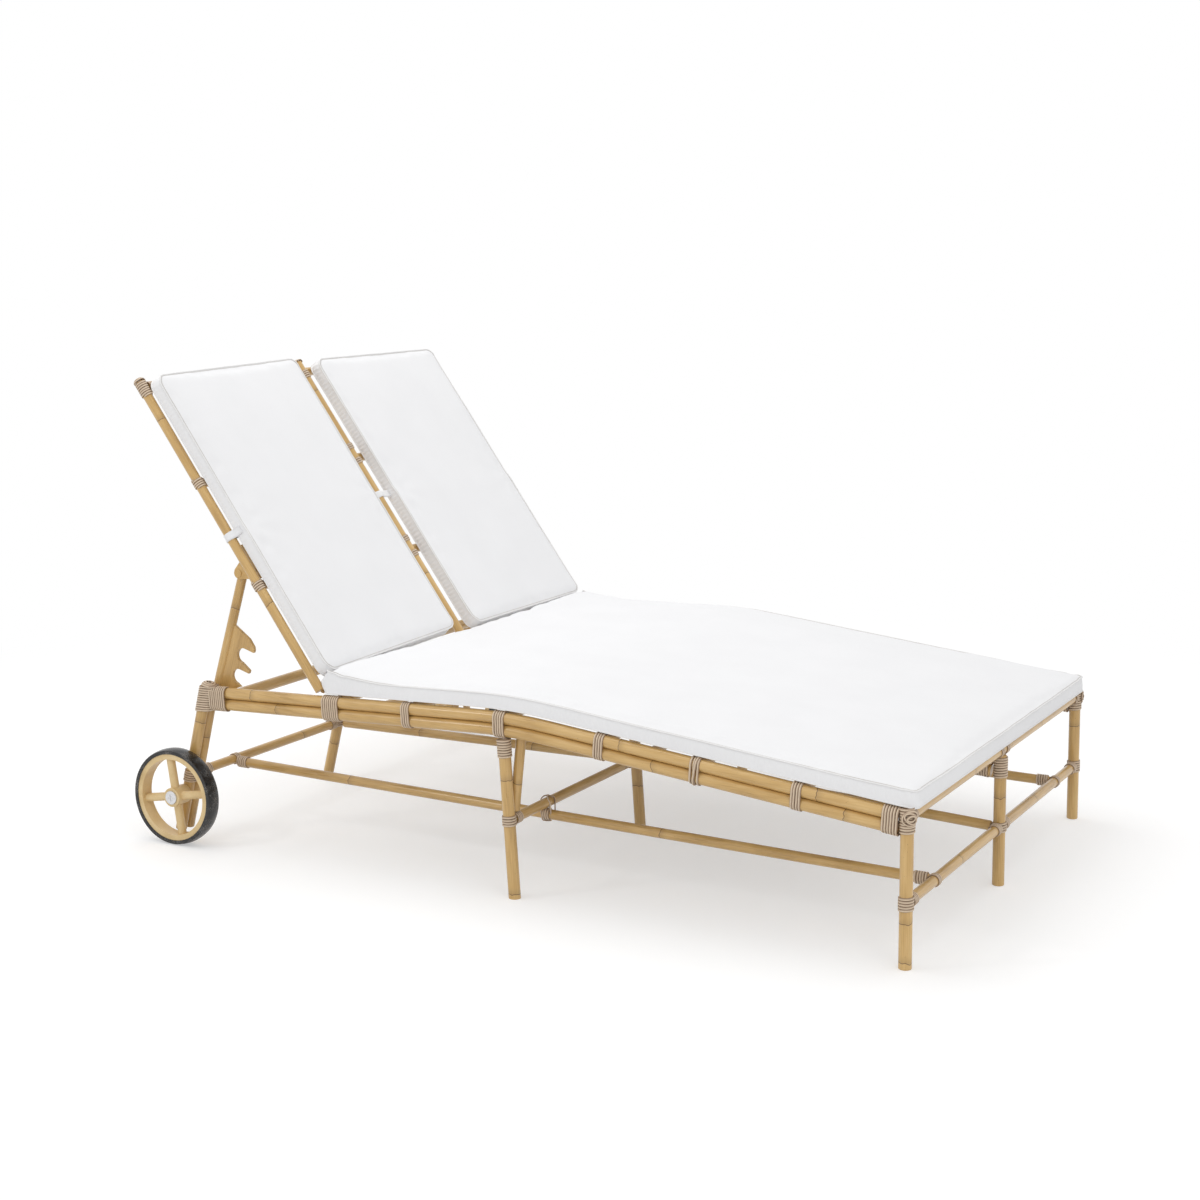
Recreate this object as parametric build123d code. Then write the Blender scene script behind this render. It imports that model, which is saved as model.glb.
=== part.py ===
from build123d import *
from functools import cache
import math
import os

# A double chaise lounger of cane-bound poles: a low frame on legs, two wheels at its head
# end, a tilting back on two notched props, one seat cushion and two back cushions.
# +X points to the foot end, +Y to the user's left and +Z up. While the pieces are made,
# x is zero at the foot legs; the whole is centered over its footprint at the end.

# Frame, in millimetres
leg_spacing = 1315.0
knee_distance = 1003.0
knee_height = 458.4
rear_rise_angle = 2.3
front_fall_angle = 5.85
knee_bend_radius = 1500.0
leg_diameter = 30.0
rail_diameter = 30.0
bar_diameter = 25.0
end_rounding = 2.5
fit = 0.2

# Legs and low bars
foot_leg_height = 359.0
foot_bar_height = 147.0
mid_bar_height = 190.0
rear_bar_height = 177.0
mid_leg_distance = 995.2
mid_leg_lean = 4.3
mid_brace_lean = 6.0
rear_leg_distance = 2036.5
rear_leg_lean = 13.7
rear_leg_lift = 25.0
rear_leg_height = 425.0
inner_leg_height = 354.0
side_stretcher_inset = 185.0

# Bars across the seat
foot_top_bar_height = 341.0
hinge_bar_distance = 1528.0
slat_distances = [1300.0, 1030.0, 756.0, 506.0, 255.0]
prop_bar_diameter = 30.0
center_rail_overhang = 20.0

# Back
hinge_distance = 1573.0
hinge_height = 449.5
back_angle = 53.2
back_length = 950.0
back_pole_inset = 5.0
back_pole_start = 4.0
center_pole_start = 20.0
lower_slat_reach = 313.0
upper_slat_reach = 629.0
top_bar_reach = 932.0
collar_wall = 4.5
collar_width = 12.0
collar_web = 10.0
collar_insets = [70.0, 420.0]
running_fit = 0.05

# Props and their brackets
pivot_reach = 378.0
pivot_drop = 46.0
bracket_thickness = 8.0
bracket_length = 103.0
bracket_depth = 57.0
bracket_start = 330.0
bracket_shares = [(0, 0.1), (0, -0.16), (0.11, -0.29), (0.33, -0.91), (0.6, -0.91),
                  (0.68, -0.39), (0.74, -0.21), (1, -0.12), (1, 0.1)]
boss_radius = 14.0
pin_radius = 5.0
pin_head_radius = 10.0
pin_head_height = 1.8
prop_side_gap = 0.6
prop_angle = 73.5
prop_length = 346.0
prop_top = 14.0
prop_diameter = 25.0
rack_thickness = 9.0
rack_start = 141.0
rack_reach = 89.0
rack_shoulder = 45.0
rack_shares = [(0, 0), (0.48, 0.74), (0.82, 0.96), (1, 1)]
notch_radius = 19.5
notch_offset = 59.5
notch_pitch = 59.0
notch_count = 3
first_notch = 212.0
notch_flare = 11.5
seat_clearance = 0.3
release_angle = 126.0
release_clearance = 1.0

# Wheels
wheel_radius = 127.5
tyre_thickness = 12.5
tyre_width = 40.0
tyre_crown = 3.0
tyre_offset = 10.0
rim_ring = 14.0
rim_width = 36.0
spoke_radius = 11.0
spoke_turn = 10.0
spoke_count = 4
hub_radius = 25.0
hub_play = 0.3
axle_radius = 6.0
axle_overhang = 4.0
cap_radius = 18.0
cap_height = 4.0
cap_groove = 3.0
cap_groove_depth = 1.5

# Cane bindings
strand = 5.0
strand_gap = 1.4
strand_clearance = 0.3
corner_turns = 5
foot_corner_turns = 9
hinge_turns = 8
prop_bar_turns = 7
slat_turns = [4, 5, 4, 4, 4]
mid_leg_turns = 7
center_leg_turns = 8
low_turns = 4
tie_turns = 3
points_per_turn = 24

# Cushions
seat_thickness = 37.0
seat_crown = 6.0
seat_overhang = 22.0
seat_side_overhang = 6.0
seat_rear_gap = 8.0
back_cushion_thickness = 33.0
back_cushion_crown = 7.0
back_cushion_start = 34.0
back_cushion_length = 876.0
back_cushion_gap = 105.0
cushion_clearance = 0.4
cushion_side_bulge = 3.0
cushion_draw_in = 4.0
cushion_edge_share = 0.82
cushion_stations = 24
strap_reach = 480.0
strap_width = 22.0
strap_thickness = 2.0

rail_radius = rail_diameter / 2
leg_radius = leg_diameter / 2
bar_radius = bar_diameter / 2
half_width = leg_spacing / 2
right = -half_width
pitch = strand + strand_gap
binding = strand + 2 * strand_clearance
binding_axis = strand / 2 + strand_clearance


def tan(angle):
    return math.tan(math.radians(angle))


def cos(angle):
    return math.cos(math.radians(angle))


def sin(angle):
    return math.sin(math.radians(angle))


def pole(start, end, diameter):
    """A round pole with rounded ends between two points of its axis."""
    start = Vector(*start)
    axis = Vector(*end) - start
    align = (Align.CENTER, Align.CENTER, Align.MIN)
    body = Plane(origin=start, z_dir=axis) * Cylinder(diameter / 2, axis.length, align=align)
    return fillet(body.edges().filter_by(GeomType.CIRCLE), end_rounding)


# Lines that the pieces share. The rails' top is two straight runs and an arc between them.

bend_tangent = knee_bend_radius * tan((front_fall_angle + rear_rise_angle) / 2)
bend_distance = knee_distance - bend_tangent * cos(front_fall_angle) + knee_bend_radius * sin(front_fall_angle)
bend_height = knee_height - bend_tangent * sin(front_fall_angle) - knee_bend_radius * cos(front_fall_angle)


def rail_slope(distance, drop):
    """Angle of the rails' line at a distance from the foot: positive where it falls to the foot."""
    share = (bend_distance - distance) / (knee_bend_radius - drop)
    angle = math.degrees(math.asin(max(-1, min(1, share))))
    return max(-rear_rise_angle, min(front_fall_angle, angle))


def rail_height(distance, drop):
    """Height, at a distance from the foot, of a line that runs below the rails' top."""
    radius = knee_bend_radius - drop
    slope = rail_slope(distance, drop)
    return bend_height + radius / cos(slope) + (distance - bend_distance) * tan(slope)


def rail_corner(drop):
    """Distance and height where the straight runs of that line would meet."""
    radius = knee_bend_radius - drop
    spread = radius / cos(rear_rise_angle) - radius / cos(front_fall_angle)
    shift = spread / (tan(front_fall_angle) + tan(rear_rise_angle))
    height = bend_height + radius / cos(front_fall_angle) + shift * tan(front_fall_angle)
    return bend_distance + shift, height


def rear_leg_at(height):
    """The rear legs' distance from the foot at a height."""
    return rear_leg_distance - height * tan(rear_leg_lean)


def mid_leg_at(height):
    """The middle legs' distance from the foot at a height."""
    return mid_leg_distance + height * tan(mid_leg_lean)


def back_point(reach, front, y):
    """A point of the back: reach up along it, front towards the user."""
    x = -hinge_distance - reach * cos(back_angle) + front * sin(back_angle)
    z = hinge_height + reach * sin(back_angle) + front * cos(back_angle)
    return x, y, z


def back_plane(y):
    """A drawing plane square to the hinge: its x runs up the back, its y to the front."""
    return Plane(origin=back_point(0, 0, y), x_dir=(-cos(back_angle), 0, sin(back_angle)), z_dir=(0, 1, 0))


pivot_point = back_point(pivot_reach, -pivot_drop, 0)


def prop_plane(y):
    """A drawing plane on a prop: its x runs down the pole, its y to the notches."""
    origin = (pivot_point[0], y, pivot_point[2])
    return Plane(origin=origin, x_dir=(-cos(prop_angle), 0, -sin(prop_angle)), z_dir=(0, -1, 0))


upper_drop = rail_radius
lower_drop = 3 * rail_radius
slat_bottom_drop = rail_radius + bar_radius
center_upper_drop = slat_bottom_drop + fit + rail_radius
center_lower_drop = center_upper_drop + rail_diameter
last_notch = first_notch + (notch_count - 1) * notch_pitch
bar_seat = last_notch - notch_radius + prop_bar_diameter / 2 + seat_clearance
prop_bar_axis = prop_plane(0).from_local_coords(Vector(bar_seat, notch_offset, 0))
bracket_inset = back_pole_inset + bar_radius + fit
prop_inset = bracket_inset + bracket_thickness + prop_side_gap + prop_diameter / 2
inner_leg_inset = leg_diameter + fit
hub_start = leg_radius + fit
tyre_start = leg_radius + tyre_offset
hub_length = tyre_offset + tyre_width - fit
low_bar_heights = [foot_bar_height, mid_bar_height, rear_bar_height]
low_bar_places = [0, mid_leg_at(mid_bar_height), rear_leg_at(rear_bar_height)]
center_foot_leg_height = foot_top_bar_height - bar_radius - fit


# Frame

def bent_pole(y, drop, foot_end, rear_end):
    """A rail pole: it follows the rails' line and bends gently at the knee."""
    corner, corner_height = rail_corner(drop)
    rear = (-rear_end, y, rail_height(rear_end, drop))
    foot = (-foot_end, y, rail_height(foot_end, drop))
    path = FilletPolyline(rear, (-corner, y, corner_height), foot, radius=knee_bend_radius - drop)
    body = sweep(Plane(origin=path @ 0, z_dir=path % 0) * Circle((rail_diameter - fit) / 2), path=path)
    return fillet(body.faces().filter_by(GeomType.PLANE).edges(), end_rounding)


def rail_rear_end(drop):
    """Where a rail pole meets the binding on the leaning rear leg."""
    top = rail_height(rear_leg_at(rear_leg_height), drop) + rail_radius
    return rear_leg_at(top) - (leg_radius + binding) / cos(rear_leg_lean) - fit


def rail_foot_end(drop):
    """Where a rail pole meets the binding on the foot leg."""
    return leg_radius + binding + fit + rail_radius * tan(front_fall_angle)


def side_rail(drop):
    return bent_pole(right, drop, rail_foot_end(drop), rail_rear_end(drop))


def center_rail():
    """The middle poles under the slats: the upper one stops behind the hinge bar."""
    upper_end = hinge_bar_distance + center_rail_overhang
    upper = bent_pole(0, center_upper_drop, rail_foot_end(center_upper_drop), upper_end)
    lower_end = rail_rear_end(center_lower_drop)
    lower = bent_pole(0, center_lower_drop, rail_foot_end(center_lower_drop), lower_end)
    return Compound([upper, lower])


def foot_leg(y, top):
    return pole((0, y, 0), (0, y, top), leg_diameter)


def mid_leg(y, drop):
    """A leg under the knee: it leans a little towards the head as it rises."""
    top = rail_height(mid_leg_at(knee_height - drop), drop) - fit - leg_radius * tan(mid_leg_lean)
    foot = -leg_radius
    leg = pole((-mid_leg_at(foot), y, foot), (-mid_leg_at(top), y, top), leg_diameter)
    ground = Pos(-mid_leg_distance, y, -leg_diameter) * Box(4 * leg_diameter, 2 * leg_diameter, 2 * leg_diameter)
    return leg - ground


def rear_leg(inset, top):
    """A leaning rear leg that ends above the ground, with a bore for the axle."""
    y = right + inset
    foot = rear_leg_lift
    leg = pole((-rear_leg_at(foot), y, foot), (-rear_leg_at(top), y, top), leg_diameter)
    bore = Rot(90, 0, 0) * Cylinder(axle_radius + running_fit, 2 * leg_diameter)
    return leg - Pos(-rear_leg_at(wheel_radius), y, wheel_radius) * bore


def center_rear_leg_height():
    return rail_height(rear_leg_at(inner_leg_height), center_lower_drop) + rail_radius


def center_rear_leg():
    """The middle rear leg: it carries the lower center rail and no wheel."""
    top, foot = center_rear_leg_height(), rear_leg_lift
    return pole((-rear_leg_at(foot), 0, foot), (-rear_leg_at(top), 0, top), leg_diameter)


def mid_brace():
    """The thinner pole that stands on the middle bar's binding, inside a side's middle leg."""
    y = right + leg_radius + bar_radius + fit
    foot = mid_bar_height + bar_radius + binding + fit
    top = rail_height(knee_distance, upper_drop)
    foot_distance = mid_leg_at(foot)
    top_distance = foot_distance - (top - foot) * tan(mid_brace_lean)
    return pole((-foot_distance, y, foot), (-top_distance, y, top), bar_diameter)


def low_crossbar(distance, height, side_inset):
    """Two poles in line from the side legs to the middle leg, each against a binding."""
    inner = leg_radius + binding + fit
    outer = half_width - side_inset - leg_radius - binding - fit
    ends = [(-outer, -inner), (inner, outer)]
    halves = [pole((-distance, a, height), (-distance, b, height), bar_diameter) for a, b in ends]
    return Compound(halves)


def crossbar(distance, height, diameter):
    """One pole from side to side, each end against the binding of a side pole."""
    reach = half_width - rail_radius - binding - fit
    return pole((-distance, -reach, height), (-distance, reach, height), diameter)


def seat_slat(distance):
    return crossbar(distance, rail_height(distance, upper_drop), bar_diameter)


def stretcher_height(distance):
    """The side stretchers run from the foot bar and pass just below the middle bar."""
    mid_height = mid_bar_height - bar_diameter - binding - fit
    slope = (mid_height - foot_bar_height) / mid_leg_at(mid_bar_height)
    return foot_bar_height + distance * slope


def side_stretcher():
    """The long low pole of a side, between the foot bar and the rear bar."""
    y = right + side_stretcher_inset
    foot_end = bar_radius + fit
    rear_end = low_bar_places[2] - bar_radius - fit
    foot = (-foot_end, y, stretcher_height(foot_end))
    return pole(foot, (-rear_end, y, stretcher_height(rear_end)), bar_diameter)


def center_stretcher():
    """Two low poles along the middle: foot leg to middle leg, middle leg to rear leg."""
    gap = leg_radius + binding + fit
    flat = bar_radius - end_rounding
    mid_gap = gap + flat * tan(mid_leg_lean)
    rear_gap = gap / cos(rear_leg_lean) + flat * tan(rear_leg_lean) - strand_clearance
    places, heights = low_bar_places, low_bar_heights
    front = pole((-places[0] - gap, 0, heights[0]), (-places[1] + mid_gap, 0, heights[1]), bar_diameter)
    rear = pole((-places[1] - mid_gap, 0, heights[1]), (-places[2] + rear_gap, 0, heights[2]), bar_diameter)
    return Compound([front, rear])


def hinge_collars():
    """Link plates that hold the back's lowest bar behind the fixed hinge bar."""
    fixed = (-hinge_bar_distance, rail_height(hinge_bar_distance, upper_drop))
    moving = (-hinge_distance, hinge_height)
    tilt = math.degrees(math.atan2(moving[1] - fixed[1], moving[0] - fixed[0]))
    middle = ((fixed[0] + moving[0]) / 2, (fixed[1] + moving[1]) / 2)
    plate = Pos(*middle) * Rot(0, 0, tilt) * Rectangle(math.dist(fixed, moving), collar_web)
    for place in [fixed, moving]:
        plate += Pos(*place) * Circle(bar_radius + collar_wall)
    for place in [fixed, moving]:
        plate -= Pos(*place) * Circle(bar_radius + running_fit)
    plates = []
    for inset in collar_insets:
        for y in [inset - half_width, half_width - inset]:
            face = Plane(origin=(0, y, 0), x_dir=(1, 0, 0), z_dir=(0, -1, 0))
            plates.append(extrude(face * plate, collar_width / 2, both=True))
    return Compound(plates)


def wheel_plane(offset):
    """A drawing plane square to the axle, offset outwards from the outer leg's axis."""
    origin = (-rear_leg_at(wheel_radius), right - offset, wheel_radius)
    return Plane(origin=origin, x_dir=(1, 0, 0), z_dir=(0, -1, 0))


def axle():
    """The stub axle through both rear legs of a side, and the cap that keeps the wheel on."""
    start = -inner_leg_inset - leg_radius - axle_overhang
    length = hub_start + hub_length + hub_play - start
    shaft = extrude(wheel_plane(start) * Circle(axle_radius), length)
    return Compound([shaft, axle_cap()])


def axle_cap():
    start = hub_start + hub_length + hub_play + fit
    cap = extrude(wheel_plane(start) * Circle(cap_radius), cap_height)
    cap = fillet(cap.edges().filter_by(GeomType.CIRCLE).sort_by(Axis.Y)[0], cap_groove_depth)
    face = wheel_plane(start + cap_height - cap_groove_depth)
    cross = Rectangle(cap_radius, cap_groove) + Rectangle(cap_groove, cap_radius)
    return cap - extrude(face * Rot(0, 0, spoke_turn) * cross, cap_height)


# Wheels

def wheel():
    """Rim, round spokes and hub in one piece."""
    tyre_middle = tyre_start + tyre_width / 2
    rim_radius = wheel_radius - tyre_thickness - fit
    body = extrude(wheel_plane(tyre_middle) * Circle(rim_radius), rim_width / 2, both=True)
    body -= extrude(wheel_plane(tyre_middle) * Circle(rim_radius - rim_ring), rim_width, both=True)
    body += extrude(wheel_plane(hub_start + fit) * Circle(hub_radius), hub_length)
    spoke_end = rim_radius - rim_ring / 2
    for number in range(spoke_count):
        turn = Rot(0, 0, spoke_turn + number * 360 / spoke_count)
        rod = Cylinder(spoke_radius, spoke_end, align=(Align.CENTER, Align.CENTER, Align.MIN))
        body += wheel_plane(tyre_middle) * turn * Rot(0, 90, 0) * rod
    return body - extrude(wheel_plane(0) * Circle(axle_radius + running_fit), hub_start + 2 * hub_length)


def tyre():
    """The band round the rim, a little crowned where it rolls."""
    inner = wheel_radius - tyre_thickness
    edge = wheel_radius - tyre_crown
    half = tyre_width / 2
    line = Polyline((edge, -half), (inner, -half), (inner, half), (edge, half))
    tread = ThreePointArc((edge, half), (wheel_radius, 0), (edge, -half))
    ring = revolve(Plane.XZ * make_face([line, tread]), Axis.Z)
    return wheel_plane(tyre_start + half) * ring


# Back

def back_side_pole():
    y = right + back_pole_inset
    return pole(back_point(-back_pole_start, 0, y), back_point(back_length, 0, y), bar_diameter)


def back_center_pole():
    """The middle pole, laid on the front of the back's bars."""
    front = bar_diameter + fit
    return pole(back_point(center_pole_start, front, 0), back_point(back_length, front, 0), bar_diameter)


def back_hinge_bar():
    """The lowest bar of the back: the hinge axis is its own."""
    reach = half_width - back_pole_inset - bar_radius - fit
    return pole(back_point(0, 0, -reach), back_point(0, 0, reach), bar_diameter)


def back_slat(height):
    reach = half_width - back_pole_inset - bar_radius - binding - fit
    return pole(back_point(height, 0, -reach), back_point(height, 0, reach), bar_diameter)


def prop_bracket():
    """The plate on a side pole's inner flank that carries the prop's pin."""
    points = [(bracket_start + a * bracket_length, b * bracket_depth) for a, b in bracket_shares]
    plate = make_face(Polyline(*points, close=True))
    plate += Pos(pivot_reach, -pivot_drop) * Circle(boss_radius)
    plate -= Pos(pivot_reach, -pivot_drop) * Circle(pin_radius + running_fit / 2)
    y = right + bracket_inset + bracket_thickness / 2
    return extrude(back_plane(y) * plate, bracket_thickness / 2, both=True)


def pin_plane(inset):
    """A drawing plane on the pin's axis, facing inwards at an inset from the leg's axis."""
    origin = (pivot_point[0], right + inset, pivot_point[2])
    return Plane(origin=origin, x_dir=(1, 0, 0), z_dir=(0, 1, 0))


def prop_pin():
    """The pin that the prop swings on, with a flat head at each end."""
    outer = bracket_inset - fit / 2
    inner = prop_inset + prop_diameter / 2 + prop_side_gap
    pin = extrude(pin_plane(outer) * Circle(pin_radius), inner - outer)
    pin += extrude(pin_plane(inner) * Circle(pin_head_radius), pin_head_height)
    return pin + extrude(pin_plane(outer - pin_head_height) * Circle(pin_head_radius), pin_head_height)


def prop():
    """A pole with a rack of open notches along its front; the last one holds the prop bar."""
    face = prop_plane(right + prop_inset)
    align = (Align.CENTER, Align.CENTER, Align.MIN)
    spine = Cylinder(prop_diameter / 2, prop_top + prop_length, align=align)
    spine = fillet(spine.edges().filter_by(GeomType.CIRCLE), end_rounding)
    body = face * Rot(0, 90, 0) * Pos(0, 0, -prop_top) * spine + rack(face)
    return body - extrude(face * Circle(pin_radius + running_fit), prop_diameter, both=True)


def rack(face):
    """The notched plate beside the pole."""
    shoulder = [(rack_start + a * rack_shoulder, b * rack_reach) for a, b in rack_shares]
    plate = make_face(Polyline(*shoulder, (last_notch, rack_reach), (last_notch, 0), close=True))
    outside = rack_reach + prop_diameter
    slant = notch_flare * (outside - notch_offset) / (rack_reach - notch_offset)
    for number in range(notch_count):
        middle = first_notch + number * notch_pitch
        above, below = middle - notch_radius, middle + notch_radius
        mouth = [(above, notch_offset), (above, outside), (below + slant, outside), (below, notch_offset)]
        plate -= make_face(Polyline(*mouth, close=True))
        plate -= Pos(middle, notch_offset) * Circle(notch_radius)
    plate -= Pos(bar_seat, notch_offset) * Rot(0, 0, release_angle) * release_slot()
    return extrude(face * plate, rack_thickness / 2, both=True)


def release_slot():
    """The straight way that the prop bar takes out of the last notch as the back goes down."""
    width = prop_bar_diameter + 2 * release_clearance
    return Pos(rack_reach / 2, 0) * Rectangle(rack_reach, width)


# Cane bindings

def biarc(start, start_way, end, end_way):
    """Two arcs that leave one point and reach another in given directions."""
    span = end - start
    spread = 2 * (start_way.dot(end_way) - 1)
    slope = span.dot(start_way + end_way)
    reach = (slope - math.sqrt(slope**2 - spread * span.dot(span))) / spread
    before = start + start_way * reach
    after = end - end_way * reach
    middle = (before + after) * 0.5
    way = (after - before).normalized()
    return [TangentArc(start, middle, tangent=start_way), TangentArc(middle, end, tangent=way)]


def wrap_path(radius, turns, far_radius, gap):
    """A strand's path round one pole, or round two that lie side by side."""
    lean = math.acos((radius - far_radius) / gap) if gap else math.pi / 2
    arcs = [(0, radius, lean, 2 * math.pi - lean), (gap, far_radius, -lean, lean)]
    flank = math.sqrt(gap**2 - (radius - far_radius) ** 2)
    around = sum(r * (last - first) for _, r, first, last in arcs) + 2 * flank
    rise = pitch / around
    edges = []
    height = 0
    for _ in range(turns):
        for center, r, first, last in arcs:
            start = Vector(center + r * math.cos(first), r * math.sin(first), height)
            height += rise * r * (last - first)
            end = Vector(center + r * math.cos(last), r * math.sin(last), height)
            start_way = Vector(-math.sin(first), math.cos(first), rise).normalized()
            end_way = Vector(-math.sin(last), math.cos(last), rise).normalized()
            if not edges:
                edges.append(Line(start - start_way * strand, start))
            edges += biarc(start, start_way, end, end_way)
            if gap:
                height += rise * flank
                flank_end = end + end_way * (flank * math.hypot(1, rise))
                edges.append(Line(end, flank_end))
                end = flank_end
    edges.append(Line(end, end + end_way * strand))
    return Wire(edges)


def least_gap(path, turns):
    """The smallest space between a strand's neighbouring turns, measured on points."""
    count = turns * points_per_turn
    lengths = [path.length * number / count for number in range(count + 1)]
    points = [path.position_at(length, position_mode=PositionMode.LENGTH) for length in lengths]
    apart = points_per_turn // 2
    pairs = ((p, q) for place, p in enumerate(points) for q in points[place + apart:])
    return min((p - q).length for p, q in pairs) - strand


@cache
def winding(pole_radius, turns, far_pole_radius=0, gap=0):
    """Cane wound round one pole, or two side by side: one unbroken tube, centered at zero."""
    radius = pole_radius + binding_axis
    far_radius = far_pole_radius + binding_axis if gap else radius
    path = wrap_path(radius, turns, far_radius, gap)
    print(f"winding of {turns} turns, least gap to itself {least_gap(path, turns):.2f} mm")
    tube = sweep(Plane(origin=path @ 0, z_dir=path % 0) * Circle(strand / 2), path=path)
    return Pos(0, 0, -turns * pitch / 2) * tube


def rail_binding(y, distance, drop, turns):
    """Cane round the two poles of a rail, the plane's x pointing down to the lower one."""
    slope = rail_slope(distance, drop)
    along = (cos(slope), 0, -sin(slope))
    origin = (-distance, y, rail_height(distance, drop))
    plane = Plane(origin=origin, x_dir=(-sin(slope), 0, -cos(slope)), z_dir=along)
    return plane * winding(rail_radius, turns, rail_radius, rail_diameter)


def leg_plane(distance, y, height, slope, x_dir=(1, 0, 0)):
    """A plane square to a leg that leans by a slope."""
    along = Vector(slope, 0, 1).normalized()
    across = Vector(*x_dir)
    across = across - along * along.dot(across)
    return Plane(origin=(-distance, y, height), x_dir=across, z_dir=along)


def foot_leg_bindings(y, top, top_turns):
    """Cane on a foot leg: at its top and where the low bar meets it."""
    high = top - top_turns * pitch / 2 - strand
    places = [(high, top_turns), (foot_bar_height, low_turns)]
    return [leg_plane(0, y, height, 0) * winding(leg_radius, turns) for height, turns in places]


def mid_leg_binding(y, height, turns):
    return leg_plane(mid_leg_at(height), y, height, -tan(mid_leg_lean)) * winding(leg_radius, turns)


def mid_leg_bindings(y, drop, top_turns):
    """Cane on a middle leg: under its rail and where the middle bar meets it."""
    high = rail_height(knee_distance, drop) - top_turns * pitch / 2 - strand
    return [mid_leg_binding(y, high, top_turns), mid_leg_binding(y, mid_bar_height, low_turns)]


def rail_bindings():
    """Cane round a side rail: at the prop bar, the hinge bar, each slat and the foot corner."""
    corner = rail_foot_end(upper_drop) + corner_turns * pitch / 2 + strand
    places = [(-prop_bar_axis.X, prop_bar_turns), (hinge_bar_distance, hinge_turns), (corner, corner_turns)]
    places += list(zip(slat_distances, slat_turns))
    return [rail_binding(right, distance, upper_drop, turns) for distance, turns in places]


def rear_leg_bindings():
    """Cane round both rear legs at the low bar, and round the outer one at the rails."""
    slope = tan(rear_leg_lean)
    low = leg_plane(low_bar_places[2], right, rear_bar_height, slope, (0, 1, 0))
    high = inner_leg_height + end_rounding + low_turns * pitch / 2
    top = leg_plane(rear_leg_at(high), right, high, slope)
    pair = winding(leg_radius, low_turns, leg_radius, inner_leg_inset)
    return [low * pair, top * winding(leg_radius, low_turns)]


def bar_end_binding(distance, height, inset):
    """Cane round the end of a low bar, beside the binding of the leg that it meets."""
    y = right + inset + leg_radius + binding + fit + end_rounding + low_turns * pitch / 2
    plane = Plane(origin=(-distance, y, height), x_dir=(0, 0, -1), z_dir=(0, 1, 0))
    return plane * winding(bar_radius, low_turns)


def low_bar_bindings():
    """Cane on the ends of the low bars of one side."""
    middle = half_width - 2 * (leg_radius + binding + fit + end_rounding) - low_turns * pitch
    rows = list(zip(low_bar_places, low_bar_heights, [0, 0, inner_leg_inset]))
    outer = [bar_end_binding(distance, height, inset) for distance, height, inset in rows]
    return outer + [bar_end_binding(distance, height, middle) for distance, height, _ in rows]


def stretcher_bindings():
    """Cane on a side stretcher: at both its ends and under the middle bar."""
    y = right + side_stretcher_inset
    end = bar_radius + end_rounding + tie_turns * pitch / 2 + strand
    bound = []
    for distance in [end, low_bar_places[1], low_bar_places[2] - end]:
        plane = Plane(origin=(-distance, y, stretcher_height(distance)), x_dir=(0, 0, -1), z_dir=(1, 0, 0))
        bound.append(plane * winding(bar_radius, tie_turns))
    return bound


def side_bindings():
    """All the cane on the right side of the frame."""
    bound = rail_bindings() + rear_leg_bindings() + low_bar_bindings() + stretcher_bindings()
    bound += foot_leg_bindings(right, foot_leg_height, foot_corner_turns)
    bound += mid_leg_bindings(right, 2 * rail_diameter, mid_leg_turns)
    return Compound(bound)


def center_bindings():
    """All the cane on the middle of the frame."""
    bound = foot_leg_bindings(0, center_foot_leg_height, center_leg_turns)
    bound += mid_leg_bindings(0, center_lower_drop + rail_radius, low_turns)
    high = center_rear_leg_height() - low_turns * pitch / 2 - strand
    for height in [rear_bar_height, high]:
        plane = leg_plane(rear_leg_at(height), 0, height, tan(rear_leg_lean))
        bound.append(plane * winding(leg_radius, low_turns))
    corner = rail_foot_end(upper_drop) + low_turns * pitch / 2 + strand
    bound.append(rail_binding(0, corner, center_upper_drop, low_turns))
    return Compound(bound)


def back_binding(reach, front, y, turns):
    along = (-cos(back_angle), 0, sin(back_angle))
    behind = (-sin(back_angle), 0, -cos(back_angle))
    plane = Plane(origin=back_point(reach, front, y), x_dir=behind, z_dir=along)
    return plane * winding(bar_radius, turns)


def back_bindings():
    """Cane on the back's poles: at each bar, and at the top."""
    y = right + back_pole_inset
    top = back_length - end_rounding - corner_turns * pitch / 2 - strand
    places = [(lower_slat_reach, low_turns), (upper_slat_reach, low_turns), (top, corner_turns)]
    side = [back_binding(reach, 0, y, turns) for reach, turns in places]
    bound = side + [mirror(each, about=Plane.XZ) for each in side]
    beside = bar_radius + tie_turns * pitch / 2 + strand
    bound.append(back_binding(top_bar_reach - beside, bar_diameter + fit, 0, tie_turns))
    for reach in [lower_slat_reach, upper_slat_reach]:
        bound.append(back_binding(reach - beside, bar_diameter + fit, 0, tie_turns))
        bound.append(back_binding(reach + beside, bar_diameter + fit, 0, tie_turns))
    return Compound(bound)


# Cushions

def cushion_section(width, thickness, crown):
    """A crowned top over a flat bottom, with sides that round out a little."""
    half = width / 2
    bulge = half + cushion_side_bulge
    bottom = Line((-half, 0), (half, 0))
    left_side = ThreePointArc((half, 0), (bulge, thickness / 2), (half, thickness))
    top = ThreePointArc((half, thickness), (0, thickness + crown), (-half, thickness))
    right_side = ThreePointArc((-half, thickness), (-bulge, thickness / 2), (-half, 0))
    return make_face([bottom, left_side, top, right_side])


def cushion(plane_at, width, thickness, crown):
    """A cushion through sections along its length: full in the middle, its sides drawn in."""
    sections = []
    for station in range(cushion_stations + 1):
        share = station / cushion_stations
        swell = math.sqrt(4 * share * (1 - share))
        full = cushion_edge_share + (1 - cushion_edge_share) * swell
        narrowed = width - 2 * cushion_side_bulge - cushion_draw_in * swell
        sections.append(plane_at(share) * cushion_section(narrowed, thickness * full, crown * full))
    return loft(sections, ruled=True)


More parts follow.
